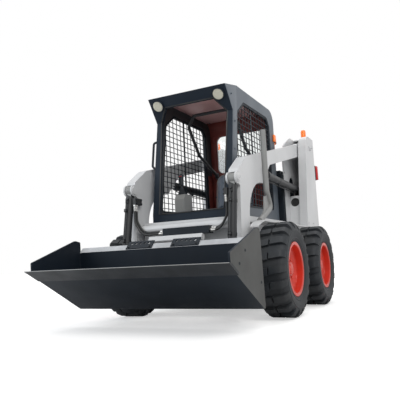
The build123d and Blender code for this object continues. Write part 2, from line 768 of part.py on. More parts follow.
def bucket_step():
    """The left step plate on the front of the bucket's top lip, with its row of holes."""
    foot = along(BUCKET_HEEL, back_dir, BUCKET_BACK_LENGTH, back_out, -BUCKET_PLATE)
    lip_dir = (cos(radians(BUCKET_LIP_DEG)), sin(radians(BUCKET_LIP_DEG)))
    lip_out = (lip_dir[1], -lip_dir[0])
    back = -SEAT_GAP
    front = back - 8
    points = [
        along(foot, lip_dir, 4, lip_out, back),
        along(foot, lip_dir, 85, lip_out, back),
        along(foot, lip_dir, 85, lip_out, front),
        along(foot, lip_dir, 4, lip_out, front),
    ]
    x_low, x_high = 86, 328
    shape = slab(points, x_low, x_high)
    across = Plane(origin=(0, *along(foot, lip_dir, 58)), x_dir=(1, 0, 0), z_dir=(0, *lip_out))
    for step in range(5):
        x = x_low + (step + 1) * (x_high - x_low) / 6
        shape -= across * Pos(x, 0, 0) * Cylinder(11, 120)
    return rolled_back(shape)


def cab_outline(inset=0):
    """The cab's side outline, or a smaller one set in by a wall."""
    points = [
        (CAB_FRONT_Y, CAB_BASE_Z),
        (CAB_FRONT_Y, CAB_SILL_Z),
        CAB_BROW,
        CAB_VISOR,
        (CAB_ROOF_FRONT_Y, CAB_TOP_Z),
        (CAB_REAR_Y, CAB_TOP_Z),
        (CAB_REAR_Y, CAB_BASE_Z),
    ]
    face = outline(points, [0, 0, 0, 0, 0, CAB_REAR_RADIUS, 0])
    return offset(face, amount=-inset, kind=Kind.INTERSECTION) if inset else face


def window_points():
    """The side window's outline."""
    rear = CAB_REAR_Y - 145
    slope = (CAB_BROW[0] - CAB_FRONT_Y) / (CAB_BROW[1] - CAB_SILL_Z)
    low_z = CAB_SILL_Z + 22
    shoulder_z = CAB_BROW[1] + 15
    front = CAB_FRONT_Y + 110
    return [
        (front, low_z),
        (front + slope * (shoulder_z - low_z), shoulder_z),
        (-295, CAB_TOP_Z - 118),
        (rear - 75, CAB_TOP_Z - 108),
        (rear, CAB_TOP_Z - 190),
        (rear - 12, low_z + 25),
    ]


WINDOW_RADII = [50, 60, 60, 60, 60, 50]


def cab_side():
    """The left side wall with its window cut through."""
    shape = extrude(Plane.YZ.offset(cab_x - CAB_WALL) * cab_outline(), amount=CAB_WALL)
    return shape - slab(window_points(), cab_x - CAB_WALL - 1, cab_x + 1, WINDOW_RADII)


def side_screen():
    """The left wire screen: upright and level bars in two layers on one frame."""
    low = cab_x - CAB_WALL + 4
    high = cab_x - 4
    points = window_points()
    frame = Plane.YZ.offset(low) * offset(outline(points, WINDOW_RADII), amount=-SEAT_GAP)
    hole = Plane.YZ.offset(low) * offset(outline(points, WINDOW_RADII), amount=-SCREEN_FRAME)
    clip = extrude(Plane.YZ.offset(low) * offset(outline(points, WINDOW_RADII), amount=-6), amount=high - low)
    shape = extrude(frame, amount=high - low) - extrude(hole, amount=high - low)
    front = min(y for y, z in points)
    rear = max(y for y, z in points)
    floor = min(z for y, z in points)
    roof = max(z for y, z in points)
    middle = (low + high) / 2
    bars = []
    columns = int((rear - front) / SCREEN_PITCH_Y)
    for column in range(1, columns + 1):
        y = front + column * SCREEN_PITCH_Y
        half = 13 if column == columns // 2 + 1 else SCREEN_BAR / 2
        bars.append(block((middle - SCREEN_BAR, middle), (y - half, y + half), (floor, roof)))
    rows = int((roof - floor) / SCREEN_PITCH_Z)
    for row in range(1, rows + 1):
        z = floor + row * SCREEN_PITCH_Z
        bars.append(block((middle - 1, middle + SCREEN_BAR - 1), (front, rear), (z - 3, z + 3)))
    grid = bars[0].fuse(*bars[1:])
    return shape + (grid & clip)


def cab_hoop():
    """The cab's wall all round its side view, between the two side walls."""
    half = cab_x - CAB_WALL
    ring = cab_outline() - cab_outline(CAB_WALL)
    return extrude(Plane.YZ.offset(-half) * ring, amount=2 * half)


def cab_panels():
    """The hoop cut where its panels meet: floor, front frame, roof and back wall."""
    hoop = cab_hoop()
    wide = (-CAB_WIDTH, CAB_WIDTH)
    front_y = CAB_FRONT_Y + CAB_WALL
    back_y = CAB_REAR_Y - CAB_REAR_RADIUS
    roof_z = CAB_VISOR[1] - 30
    floor_z = CAB_BASE_Z + CAB_WALL
    panels = {
        "cab_floor": hoop & block(wide, (front_y, CAB_REAR_Y - CAB_WALL), (CAB_BASE_Z - 1, floor_z)),
        "cab_roof": hoop & block(wide, (CAB_VISOR[0] - 9, back_y), (roof_z, CAB_TOP_Z + 9)),
    }
    front = hoop & block(wide, (CAB_VISOR[0] - 9, 0), (CAB_BASE_Z - 1, roof_z))
    front -= block(wide, (front_y, 9), (CAB_BASE_Z - 2, floor_z))
    half = DOORWAY_WIDTH / 2
    gap = outline(
        [
            (-half + 20, CAB_SILL_Z),
            (half - 20, CAB_SILL_Z),
            (half, CAB_BROW[1]),
            (half - DOORWAY_CORNER, DOORWAY_TOP_Z),
            (DOORWAY_CORNER - half, DOORWAY_TOP_Z),
            (-half, CAB_BROW[1]),
        ],
        25,
    )
    front -= extrude(Plane.XZ.offset(-100) * gap, amount=900)
    panels["cab_front"] = front
    back = hoop & block(wide, (back_y, CAB_REAR_Y + 9), (CAB_BASE_Z - 1, CAB_TOP_Z + 9))
    back -= block(wide, (back_y - 9, CAB_REAR_Y - CAB_WALL), (CAB_BASE_Z - 2, floor_z))
    back -= extrude(Plane.XZ.offset(-CAB_REAR_Y - 50) * rear_window_outline(0), amount=300)
    bracket = seat_bar_bracket()
    panels["cab_back"] = back + bracket + other_side(bracket)
    return panels


def rear_window_outline(gap):
    """The rear window's rounded outline, smaller by a gap."""
    wide = REAR_WINDOW_WIDTH - 2 * gap
    tall = REAR_WINDOW_HIGH_Z - REAR_WINDOW_LOW_Z - 2 * gap
    return Pos(0, (REAR_WINDOW_LOW_Z + REAR_WINDOW_HIGH_Z) / 2) * RectangleRounded(wide, tall, 60)


def rear_window():
    """The rear glass in its opening."""
    return extrude(Plane.XZ.offset(-CAB_REAR_Y + 8) * rear_window_outline(SEAT_GAP), amount=8)


def work_lamp():
    """The left round work lamp on the visor's slope."""
    y = CAB_VISOR[0] - CAB_BROW[0]
    z = CAB_VISOR[1] - CAB_BROW[1]
    size = hypot(y, z)
    share = 0.68
    seat = Plane(
        origin=(cab_x - LAMP_RADIUS - 32, CAB_BROW[0] + y * share, CAB_BROW[1] + z * share),
        z_dir=(0, -z / size, y / size),
    )
    lamp = seat * Cylinder(LAMP_RADIUS, LAMP_DEPTH, align=(Align.CENTER, Align.CENTER, Align.MIN))
    return lamp


def grab_handle():
    """The bent handle on the right of the cab's front edge."""
    x = -cab_x
    high = HANDLE_TOP_Z
    low = HANDLE_TOP_Z - HANDLE_LENGTH
    shape = tube([(x + 5, -570, high), (x - 45, -575, high - 8), (x - 45, -612, low + 48), (x + 5, -618, low)], 11, 22)
    return shape - block((x, x + 60), (-700, -500), (low - 150, high + 60))


def cab_lamp():
    """The amber lamp on its bracket at the cab's rear left corner."""
    y = CAB_REAR_Y
    z = CAB_LAMP_Z
    bracket = block((cab_x - 50, cab_x), (y, y + 64), (z - 10, z))
    bracket += block((cab_x - 50, cab_x), (y, y + 8), (z - 65, z))
    return bracket + Pos(cab_x - 22, y + 36, z - 1) * Cylinder(24, 84, align=(Align.CENTER, Align.CENTER, Align.MIN))


def beacon():
    """The left amber lamp on top of the tower."""
    x = TOWER_OUTER_X + 8
    base = Pos(x, ARM_PIVOT[0] + 70, TOWER_TOP_Z)
    foot = base * Cylinder(34, 14, align=(Align.CENTER, Align.CENTER, Align.MIN))
    return foot + base * Cylinder(27, 88, align=(Align.CENTER, Align.CENTER, Align.MIN))


def tail_lamp():
    """The left red lamp on the tower's rear face."""
    x = TOWER_OUTER_X + 38
    return block((x - 75, x - 5), (HULL_REAR_Y, HULL_REAR_Y + 42), (1365, 1575))


def seat_pedestal():
    """The plinth under the seat."""
    floor_z = CAB_BASE_Z + CAB_WALL
    return block((-200, 200), (-60, CAB_REAR_Y - CAB_WALL), (floor_z, PEDESTAL_TOP_Z))


def seat():
    """The cushion and backrest in one piece."""
    half = 215
    low = PEDESTAL_TOP_Z + SEAT_GAP
    points = [
        (-120, low),
        (330, low),
        (390, low + 515),
        (305, low + 525),
        (250, low + 105),
        (-120, low + 95),
    ]
    return slab(points, -half, half, [25, 10, 35, 35, 30, 35])


def console():
    """The left control pod."""
    floor_z = CAB_BASE_Z + CAB_WALL
    x = cab_x - CAB_WALL
    top = CONSOLE_TOP_Z
    points = [(-350, floor_z), (-170, floor_z), (-185, top), (-325, top), (-350, top - 50)]
    return slab(points, x - 105, x - SEAT_GAP, [0, 0, 20, 15, 15])


def joystick():
    """The left stick on its boot."""
    x = cab_x - CAB_WALL - 52
    base = Pos(x, -290, CONSOLE_TOP_Z)
    up = (Align.CENTER, Align.CENTER, Align.MIN)
    shape = base * Cone(36, 16, 60, align=up) + base * Cylinder(9, 110, align=up)
    return shape + Pos(x, -290, CONSOLE_TOP_Z + 95) * Cylinder(20, 104, align=up)


def seat_bar():
    """The raised seat bar: a bent loop on two pivots."""
    y, z = SEAT_BAR_PIVOT
    x = SEAT_BAR_HALF_WIDTH
    loop = tube(
        [
            (x, y, z),
            (x, y - 425, z + 160),
            (x, y - 640, z + 420),
            (x - 80, y - 665, z + 520),
            (80 - x, y - 665, z + 520),
            (-x, y - 640, z + 420),
            (-x, y - 425, z + 160),
            (-x, y, z),
        ],
        SEAT_BAR_RADIUS,
        50,
    )
    hub = pin(SEAT_BAR_PIVOT, 26, x - 14, x + 14)
    loop += hub + other_side(hub)
    bore = pin(SEAT_BAR_PIVOT, 12 + RUNNING_FIT, -x - 30, x + 30)
    return loop - bore


def seat_bar_bracket():
    """The left bracket on the rear wall with the seat bar's pin."""
    y, z = SEAT_BAR_PIVOT
    x = SEAT_BAR_HALF_WIDTH + 20
    wall = CAB_REAR_Y - CAB_WALL
    shape = slab([(wall, z - 50), (wall, z + 50), (y, z + 24), (y - 24, z), (y, z - 24)], x, x + 14)
    return shape + pin(SEAT_BAR_PIVOT, 12, x - 34, x + 1)


def bucket_tip_y():
    """The foremost point of the machine."""
    turn = radians(ROLL_BACK_DEG)
    y = BUCKET_HEEL[0] - BUCKET_FLOOR_LENGTH
    return BUCKET_PIN[0] + y * cos(turn) + BUCKET_HEEL[1] * sin(turn)


def machine():
    """Every node's shape by name."""
    tilt_pin = tilt_rod_pin()
    guard_reach = GUARD_WIDTH / 2 + SEAT_GAP
    far_hoses = other_side(arm_hoses(guard_reach - GUARD_CENTRE_X))
    left = {
        "tower": tower(),
        "lift_arm": lift_arm(),
        "cab_side": cab_side(),
        "side_screen": side_screen(),
    }
    shapes = {
        "main_frame": main_frame(),
        "fenders": both(fender()),
        "guard_bars": guard_bar(),
        "rear_door": rear_door(),
        "engine_lid": engine_lid(),
        "engine_block": engine_block(),
        "arm_cross_tube": cross_tube(),
        "hose_guard": hose_guard(),
        "arm_hoses": Compound(children=[arm_hoses(guard_reach + GUARD_CENTRE_X), far_hoses]),
        "lift_barrels": both(
            barrel(LIFT_BASE_PIN, LIFT_ROD_PIN, LIFT_BARREL_RADIUS, LIFT_ROD_RADIUS, LIFT_BARREL_END, 1)
        ),
        "lift_rods": both(rod(LIFT_BASE_PIN, LIFT_ROD_PIN, LIFT_ROD_RADIUS, 300)),
        "tilt_barrels": both(
            barrel(TILT_BASE_PIN, tilt_pin, TILT_BARREL_RADIUS, TILT_ROD_RADIUS, TILT_BARREL_END, -1)
        ),
        "tilt_rods": both(rod(TILT_BASE_PIN, tilt_pin, TILT_ROD_RADIUS, 110)),
        "coupler": coupler(),
        "bucket_shell": bucket_shell(),
        "bucket_sides": bucket_sides(),
        "cutting_edge": cutting_edge(),
        "bucket_steps": both(bucket_step()),
        "rear_window": rear_window(),
        "work_lamps": both(work_lamp()),
        "grab_handle": grab_handle(),
        "amber_lamps": Compound(children=[beacon(), other_side(beacon()), cab_lamp()]),
        "tail_lamps": both(tail_lamp()),
        "seat_pedestal": seat_pedestal(),
        "seat": seat(),
        "consoles": both(console()),
        "joysticks": both(joystick()),
        "seat_bar": seat_bar(),
    }
    shapes.update(cab_panels())
    for name, shape in left.items():
        shapes[name + "_left"] = shape
        shapes[name + "_right"] = other_side(shape)
    shapes["tower_right"] += door_lugs()
    axles = [axle_housing(-WHEELBASE / 2), axle_housing(WHEELBASE / 2)]
    shapes["axle_housings"] = Compound(children=axles + [other_side(axle) for axle in axles])
    rubber = tyre()
    steel = rim()
    for end, y in (("front", -WHEELBASE / 2), ("rear", WHEELBASE / 2)):
        place = Pos(wheel_x, y, axle_z)
        shapes[f"tyre_{end}_left"] = place * rubber
        shapes[f"rim_{end}_left"] = place * steel
        shapes[f"tyre_{end}_right"] = other_side(place * rubber)
        shapes[f"rim_{end}_right"] = other_side(place * steel)
    return shapes


def main():
    """Move every piece to the shared origin and write its STEP file."""
    os.makedirs("parts", exist_ok=True)
    rear_y = HULL_REAR_Y + TOW_LUG_LENGTH
    shift = Pos(0, -(bucket_tip_y() + rear_y) / 2, 0)
    for name, shape in machine().items():
        moved = [shift * solid for solid in shape.solids()]
        export_step(moved[0] if len(moved) == 1 else Compound(children=moved), f"parts/{name}.step")


main()
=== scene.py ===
from math import cos, pi, radians, sin

import bmesh
import bpy
from mathutils import Matrix, Vector


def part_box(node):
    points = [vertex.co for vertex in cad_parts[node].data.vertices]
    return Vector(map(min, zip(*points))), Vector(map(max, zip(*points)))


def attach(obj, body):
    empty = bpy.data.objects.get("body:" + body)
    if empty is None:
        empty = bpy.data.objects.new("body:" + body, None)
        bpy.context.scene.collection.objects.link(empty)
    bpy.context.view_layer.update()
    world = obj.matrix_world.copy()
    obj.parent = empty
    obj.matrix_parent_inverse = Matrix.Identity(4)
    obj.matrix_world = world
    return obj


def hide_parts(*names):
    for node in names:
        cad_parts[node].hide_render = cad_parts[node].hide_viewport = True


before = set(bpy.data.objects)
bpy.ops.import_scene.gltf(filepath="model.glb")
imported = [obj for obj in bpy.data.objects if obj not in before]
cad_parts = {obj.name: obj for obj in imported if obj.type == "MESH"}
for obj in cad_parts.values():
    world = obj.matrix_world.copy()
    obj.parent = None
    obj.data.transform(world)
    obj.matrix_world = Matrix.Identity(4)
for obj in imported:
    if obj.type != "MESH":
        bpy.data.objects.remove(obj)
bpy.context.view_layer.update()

bl_info = {
    "name": "Skid-Steer Loader Dressing",
    "version": (1, 0, 0),
    "blender": (4, 5, 0),
    "location": "View3D > Sidebar > Loader",
    "description": "Paints the loader's frame and adds its tyres, seat, lamps, fittings and stage",
    "category": "Object",
}

WHEELS = ("front_left", "front_right", "rear_left", "rear_right")
SIDES = (("left", 1.0), ("right", -1.0))
WAYS = (1.0, -1.0)
UP = (0.0, 0.0, 1.0)
DOWN = (0.0, 0.0, -1.0)
FRONT = (0.0, -1.0, 0.0)
REAR = (0.0, 1.0, 0.0)
SAME_SPOT = 0.00005


def centre_of(node):
    """The middle of a CAD node's box."""
    low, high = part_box(node)
    return (Vector(low) + Vector(high)) / 2


MID_Y = (centre_of("tyre_front_left").y + centre_of("tyre_rear_left").y) / 2


def row_y(y):
    """A row-frame y from a machine y, which is 0 midway between the axles."""
    return y + MID_Y


def at(x, y, z):
    """A row-frame point from machine coordinates."""
    return Vector((x, row_y(y), z))


def tint(name, about, colour):
    """A colour property for the sidebar."""
    return bpy.props.FloatVectorProperty(
        name=name, description=about, subtype="COLOR", size=3, min=0.0, max=1.0, default=colour
    )


def size(name, about, metres):
    """A length property for the sidebar."""
    return bpy.props.FloatProperty(
        name=name, description=about, unit="LENGTH", min=0.0, default=metres
    )


def bearing(name, about, degrees):
    """An angle property for the sidebar."""
    return bpy.props.FloatProperty(
        name=name, description=about, unit="ROTATION", default=radians(degrees)
    )


def amount(name, about, value, least=0.0):
    """A plain number property for the sidebar."""
    return bpy.props.FloatProperty(name=name, description=about, min=least, default=value)


def share(name, about, value):
    """A part-of-one property for the sidebar."""
    return bpy.props.FloatProperty(
        name=name, description=about, subtype="FACTOR", min=0.0, max=1.0, default=value
    )


class LoaderPaint(bpy.types.PropertyGroup):
    """The colours of the loader's paints, plastics and rubber."""

    body: tint("Body white", "Off-white paint of arms, towers and hull", (0.68, 0.69, 0.705))
    cab: tint("Cab grey", "Blue-grey paint of the cab's walls", (0.088, 0.110, 0.138))
    # Front frame grey is the cab grey darkened as painted shade, for the front frame and the forward faces of
    # the cab's roof and sides.
    cab_front: tint("Front frame grey", "Darker paint of the cab's front frame", (0.0115, 0.0195, 0.0315))
    inside: tint("Cab red", "Red-brown lining of the cab", (0.24, 0.050, 0.040))
    # Ceiling red is the red lining made paler on the headlining: painted light reflecting on it.
    ceiling: tint("Ceiling red", "Paler red of the cab's ceiling", (0.72, 0.41, 0.40))
    bar: tint("Grey paint", "Warm grey of the guard bar and consoles", (0.26, 0.265, 0.262))
    console: tint("Console grey", "Grey plastic of the control pods", (0.33, 0.34, 0.34))
    # On the cab's side walls this dark grey is painted shade on their inner faces.
    dark: tint("Dark grey", "Dark grey of the seat bar and the cab's inner panels", (0.040, 0.043, 0.048))
    black: tint("Black paint", "Satin black of the guard, screens and cylinders", (0.0105, 0.0160, 0.0235))
    bucket: tint("Bucket black", "Blue-black paint of the bucket", (0.0075, 0.0135, 0.0225))
    # Side plate grey is a lit copy of the bucket black for the side plates' outward faces: painted light.
    plate: tint("Side plate grey", "Grey of the outside of the bucket's side plates", (0.062, 0.064, 0.062))
    # Lip steel is a pale colour for the lip's upward faces: a painted reflection of the sky, not worn steel.
    lip: tint("Lip steel", "Worn bright top of the bucket's lip", (0.60, 0.62, 0.65))
    rim: tint("Rim red", "Orange-red paint of the wheels", (0.72, 0.040, 0.018))
    rubber: tint("Rubber", "Tyre rubber", (0.0105, 0.0140, 0.0185))
    seat: tint("Seat cover", "Blue-grey seat cover", (0.16, 0.205, 0.275))
    amber: tint("Amber", "Amber lamp lenses", (0.95, 0.20, 0.015))
    red: tint("Red lens", "Tail lamp lenses", (0.52, 0.012, 0.014))
    dust: tint("Dust", "Pale dust in the paint's corners", (0.42, 0.39, 0.34))
    dust_amount: share("Dust amount", "How much dust lies on the machine", 0.07)


class LoaderSizes(bpy.types.PropertyGroup):
    """The sizes of the pieces that are added to the frame."""

    lugs_each_side: bpy.props.IntProperty(
        name="Lugs each side", description="Tread lugs on each half of a tyre", min=8, max=40, default=20
    )
    lug_width: size("Lug width", "Width of a tread lug round the tyre", 0.058)
    beacon_height: size("Beacon height", "Height of the amber domes on the towers", 0.112)
    doorway_bead: size("Doorway bead", "Radius of the rubber bead round the doorway", 0.0065)
    weld_bead: size("Weld bead", "Radius of the bucket's weld beads", 0.0055)


class LoaderStage(bpy.types.PropertyGroup):
    """The camera, lights and floor."""

    camera_place: bpy.props.FloatVectorProperty(
        name="Camera place", description="Where the camera stands", subtype="TRANSLATION",
        unit="LENGTH", size=3, default=(2.0135, -4.3848, 0.5058)
    )
    camera_yaw: bearing("Yaw", "Turn of the camera about the upright", 26.56)
    camera_pitch: bearing("Pitch", "Tilt of the camera above the horizon", 6.86)
    camera_roll: bearing("Roll", "Turn of the camera about its view", -2.808)
    lens: amount("Lens", "Focal length in millimetres on a 36 mm sensor", 44.597, 10.0)
    key_power: amount("Key", "Power of the main light", 205.0)
    fill_power: amount("Fill", "Power of the fill light and of the top light", 115.0)
    sky: amount("Sky", "Strength of the even light", 0.46)
    floor: tint("Floor", "Pale studio floor", (0.86, 0.86, 0.86))
    floor_lift: share("Floor lift", "Extra white of the floor near the machine, as the camera sees it", 0.48)


def calc(tree, operation, first, second=0.0, third=0.0, clamp=False):
    """A math node's output from sockets or numbers."""
    step = tree.nodes.new("ShaderNodeMath")
    step.operation = operation
    step.use_clamp = clamp
    for socket, value in zip(step.inputs, (first, second, third)):
        feed(tree, socket, value)
    return step.outputs[0]


def feed(tree, socket, value):
    """Links a socket to another, or sets its value."""
    if isinstance(value, bpy.types.NodeSocket):
        tree.links.new(value, socket)
    else:
        socket.default_value = value


def blend_colours(tree, part, first, second, kind="MIX"):
    """A colour mix node's output."""
    step = tree.nodes.new("ShaderNodeMix")
    step.data_type = "RGBA"
    step.blend_type = kind
    for index, value in ((0, part), (6, first), (7, second)):
        feed(tree, step.inputs[index], value)
    return step.outputs[2]


def speckle(tree, scale, detail=4.0, stretch=None, low=0.35, high=0.65):
    """Noise over the object's own coordinates, spread to 0..1."""
    spot = tree.nodes.new("ShaderNodeTexCoord").outputs["Object"]
    if stretch:
        turn = tree.nodes.new("ShaderNodeMapping")
        turn.inputs["Scale"].default_value = stretch
        tree.links.new(spot, turn.inputs["Vector"])
        spot = turn.outputs["Vector"]
    noise = tree.nodes.new("ShaderNodeTexNoise")
    tree.links.new(spot, noise.inputs["Vector"])
    feed(tree, noise.inputs["Scale"], scale)
    noise.inputs["Detail"].default_value = detail
    spread = tree.nodes.new("ShaderNodeMapRange")
    tree.links.new(noise.outputs["Fac"], spread.inputs["Value"])
    spread.inputs["From Min"].default_value = low
    spread.inputs["From Max"].default_value = high
    return spread.outputs["Result"]


GROUP_OUTPUTS = (
    ("Colour", "NodeSocketColor"), ("Roughness", "NodeSocketFloat"), ("Height", "NodeSocketFloat")
)


def new_group(name, inputs):
    """An empty shader group with named sockets, the sockets it is given and those it puts out."""
    tree = bpy.data.node_groups.new(name, "ShaderNodeTree")
    for label, value in inputs.items():
        kind = "NodeSocketColor" if isinstance(value, tuple) else "NodeSocketFloat"
        socket = tree.interface.new_socket(label, in_out="INPUT", socket_type=kind)
        socket.default_value = value
    for label, kind in GROUP_OUTPUTS:
        tree.interface.new_socket(label, in_out="OUTPUT", socket_type=kind)
    return tree, tree.nodes.new("NodeGroupInput").outputs, tree.nodes.new("NodeGroupOutput").inputs


def coat_group():
    """Sprayed paint: patches, settled dust on upward faces and a fine orange peel."""
    tree, given, result = new_group("Sprayed Coat", {
        "Paint": (0.5, 0.5, 0.5, 1.0), "Dust": (0.4, 0.38, 0.33, 1.0), "Dust Amount": 0.1,
        "Patchiness": 0.15, "Patch Scale": 3.0, "Roughness": 0.35,
    })
    peel_scale, streak_scale = 420.0, 9.0
    dust_on_sides, dust_on_top = 0.3, 0.7
    patch_rough, dust_rough = 0.08, 0.6
    patch = speckle(tree, given["Patch Scale"], detail=5.0)
    peel = speckle(tree, peel_scale, detail=2.0)
    streak = speckle(tree, streak_scale, detail=6.0, stretch=(1.0, 1.0, 0.18), low=0.45, high=0.8)
    normal = tree.nodes.new("ShaderNodeSeparateXYZ")
    tree.links.new(tree.nodes.new("ShaderNodeNewGeometry").outputs["Normal"], normal.inputs[0])
    upward = calc(tree, "MAXIMUM", normal.outputs["Z"], 0.0)
    settled = calc(tree, "MULTIPLY_ADD", upward, dust_on_top, dust_on_sides)
    streaked = calc(tree, "MULTIPLY", streak, settled)
    cover = calc(tree, "MULTIPLY", streaked, given["Dust Amount"], clamp=True)
    shade = calc(tree, "SUBTRACT", 1.0, calc(tree, "MULTIPLY", patch, given["Patchiness"]))
    grey = tree.nodes.new("ShaderNodeCombineColor")
    for socket in grey.inputs:
        tree.links.new(shade, socket)
    toned = blend_colours(tree, 1.0, given["Paint"], grey.outputs[0], "MULTIPLY")
    feed(tree, result["Colour"], blend_colours(tree, cover, toned, given["Dust"]))
    rough = calc(tree, "MULTIPLY_ADD", patch, patch_rough, given["Roughness"])
    dusty = calc(tree, "MULTIPLY", cover, dust_rough)
    feed(tree, result["Roughness"], calc(tree, "ADD", rough, dusty, clamp=True))
    feed(tree, result["Height"], peel)
    return tree


def grain_group():
    """Moulded plastic and rubber: a pebbled grain with faint wear."""
    tree, given, result = new_group("Moulded Grain", {
        "Tint": (0.03, 0.03, 0.03, 1.0), "Wear": (0.1, 0.1, 0.1, 1.0), "Wear Amount": 0.2,
        "Grain Scale": 300.0, "Roughness": 0.6,
    })
    wear_scale, wear_rough = 5.0, 0.15
    cells = tree.nodes.new("ShaderNodeTexVoronoi")
    tree.links.new(tree.nodes.new("ShaderNodeTexCoord").outputs["Object"], cells.inputs["Vector"])
    tree.links.new(given["Grain Scale"], cells.inputs["Scale"])
    broad = speckle(tree, wear_scale, detail=6.0, low=0.4, high=0.75)
    worn = calc(tree, "MULTIPLY", broad, given["Wear Amount"], clamp=True)
    feed(tree, result["Colour"], blend_colours(tree, worn, given["Tint"], given["Wear"]))
    rough = calc(tree, "MULTIPLY_ADD", broad, wear_rough, given["Roughness"])
    feed(tree, result["Roughness"], rough)
    feed(tree, result["Height"], cells.outputs["Distance"])
    return tree


def metal_group():
    """Bare or plated steel: fine lines along the work and clouded tone."""
    tree, given, result = new_group("Drawn Steel", {
        "Steel": (0.5, 0.5, 0.5, 1.0), "Stain": (0.2, 0.15, 0.1, 1.0), "Stain Amount": 0.1,
        "Roughness": 0.3,
    })
    line_scale, cloud_scale = 60.0, 12.0
    line_rough, stain_rough = 0.12, 0.3
    lines = speckle(tree, line_scale, detail=3.0, stretch=(1.0, 14.0, 14.0))
    cloud = speckle(tree, cloud_scale, detail=6.0, low=0.45, high=0.8)
    stained = calc(tree, "MULTIPLY", cloud, given["Stain Amount"], clamp=True)
    feed(tree, result["Colour"], blend_colours(tree, stained, given["Steel"], given["Stain"]))
    rough = calc(tree, "MULTIPLY_ADD", lines, line_rough, given["Roughness"])
    dulled = calc(tree, "MULTIPLY", stained, stain_rough)
    feed(tree, result["Roughness"], calc(tree, "ADD", rough, dulled, clamp=True))
    feed(tree, result["Height"], lines)
    return tree


GROUP_MAKERS = {"Sprayed Coat": coat_group, "Moulded Grain": grain_group, "Drawn Steel": metal_group}


def effect(name):
    """The shared node group of that name, built the first time it is asked for."""
    return bpy.data.node_groups.get(name) or GROUP_MAKERS[name]()


def solid(colour):
    """A colour property as the four numbers a node wants."""
    return (colour[0], colour[1], colour[2], 1.0)


def finish_material(name, group, values, bump, bump_size, **shader):
    """A Principled material whose colour, roughness and bump come from a shared group."""
    material = bpy.data.materials.new(name)
    material.use_nodes = True
    tree = material.node_tree
    surface = tree.nodes["Principled BSDF"]
    skin = tree.nodes.new("ShaderNodeGroup")
    skin.node_tree = effect(group)
    for label, value in values.items():
        skin.inputs[label].default_value = value
    tree.links.new(skin.outputs["Colour"], surface.inputs["Base Color"])
    tree.links.new(skin.outputs["Roughness"], surface.inputs["Roughness"])
    relief = tree.nodes.new("ShaderNodeBump")
    relief.inputs["Strength"].default_value = bump
    relief.inputs["Distance"].default_value = bump_size
    tree.links.new(skin.outputs["Height"], relief.inputs["Height"])
    tree.links.new(relief.outputs["Normal"], surface.inputs["Normal"])
    for label, value in shader.items():
        surface.inputs[label.replace("_", " ")].default_value = value
    return material


def painted(name, colour, patch=0.12, scale=3.0, rough=0.32, dust=1.0, coat=0.25, shine=0.5):
    """Sprayed enamel in one colour."""
    paint = bpy.context.scene.loader_paint
    values = {
        "Paint": solid(colour), "Dust": solid(paint.dust), "Dust Amount": paint.dust_amount * dust,
        "Patchiness": patch, "Patch Scale": scale, "Roughness": rough,
    }
    return finish_material(
        name, "Sprayed Coat", values, bump=0.08, bump_size=0.0004,
        Coat_Weight=coat, Coat_Roughness=0.12, Specular_IOR_Level=shine
    )


def moulded(name, colour, wear, worn, grain, rough, bump, **shader):
    """Moulded plastic or rubber in one colour."""
    values = {
        "Tint": solid(colour), "Wear": solid(wear), "Wear Amount": worn, "Grain Scale": grain,
        "Roughness": rough,
    }
    return finish_material(name, "Moulded Grain", values, bump, bump_size=0.0006, **shader)


def steel(name, colour, stain, clouding, rough):
    """Plated or polished steel."""
    values = {
        "Steel": solid(colour), "Stain": solid(stain), "Stain Amount": clouding, "Roughness": rough,
    }
    return finish_material(
        name, "Drawn Steel", values, bump=0.05, bump_size=0.0003, Metallic=1.0
    )


def lens_material(name, colour, glow):
    """A coloured lamp lens with a ribbed look."""
    brighter = (min(1.0, colour[0] * 1.2), colour[1], colour[2])
    return moulded(
        name, colour, brighter, worn=0.3, grain=160.0, rough=0.12, bump=0.35,
        Coat_Weight=0.6, Emission_Color=solid(colour), Emission_Strength=glow
    )


def glass_material(name):
    """Clear window glass with faint smears."""
    smear_scale, smear_rough = 30.0, 0.06
    material = bpy.data.materials.new(name)
    material.use_nodes = True
    tree = material.node_tree
    surface = tree.nodes["Principled BSDF"]
    surface.inputs["Base Color"].default_value = (0.93, 0.96, 0.95, 1.0)
    surface.inputs["Roughness"].default_value = 0.03
    surface.inputs["IOR"].default_value = 1.45
    surface.inputs["Transmission Weight"].default_value = 1.0
    smear = speckle(tree, smear_scale, detail=5.0)
    tree.links.new(calc(tree, "MULTIPLY", smear, smear_rough), surface.inputs["Roughness"])
    return material


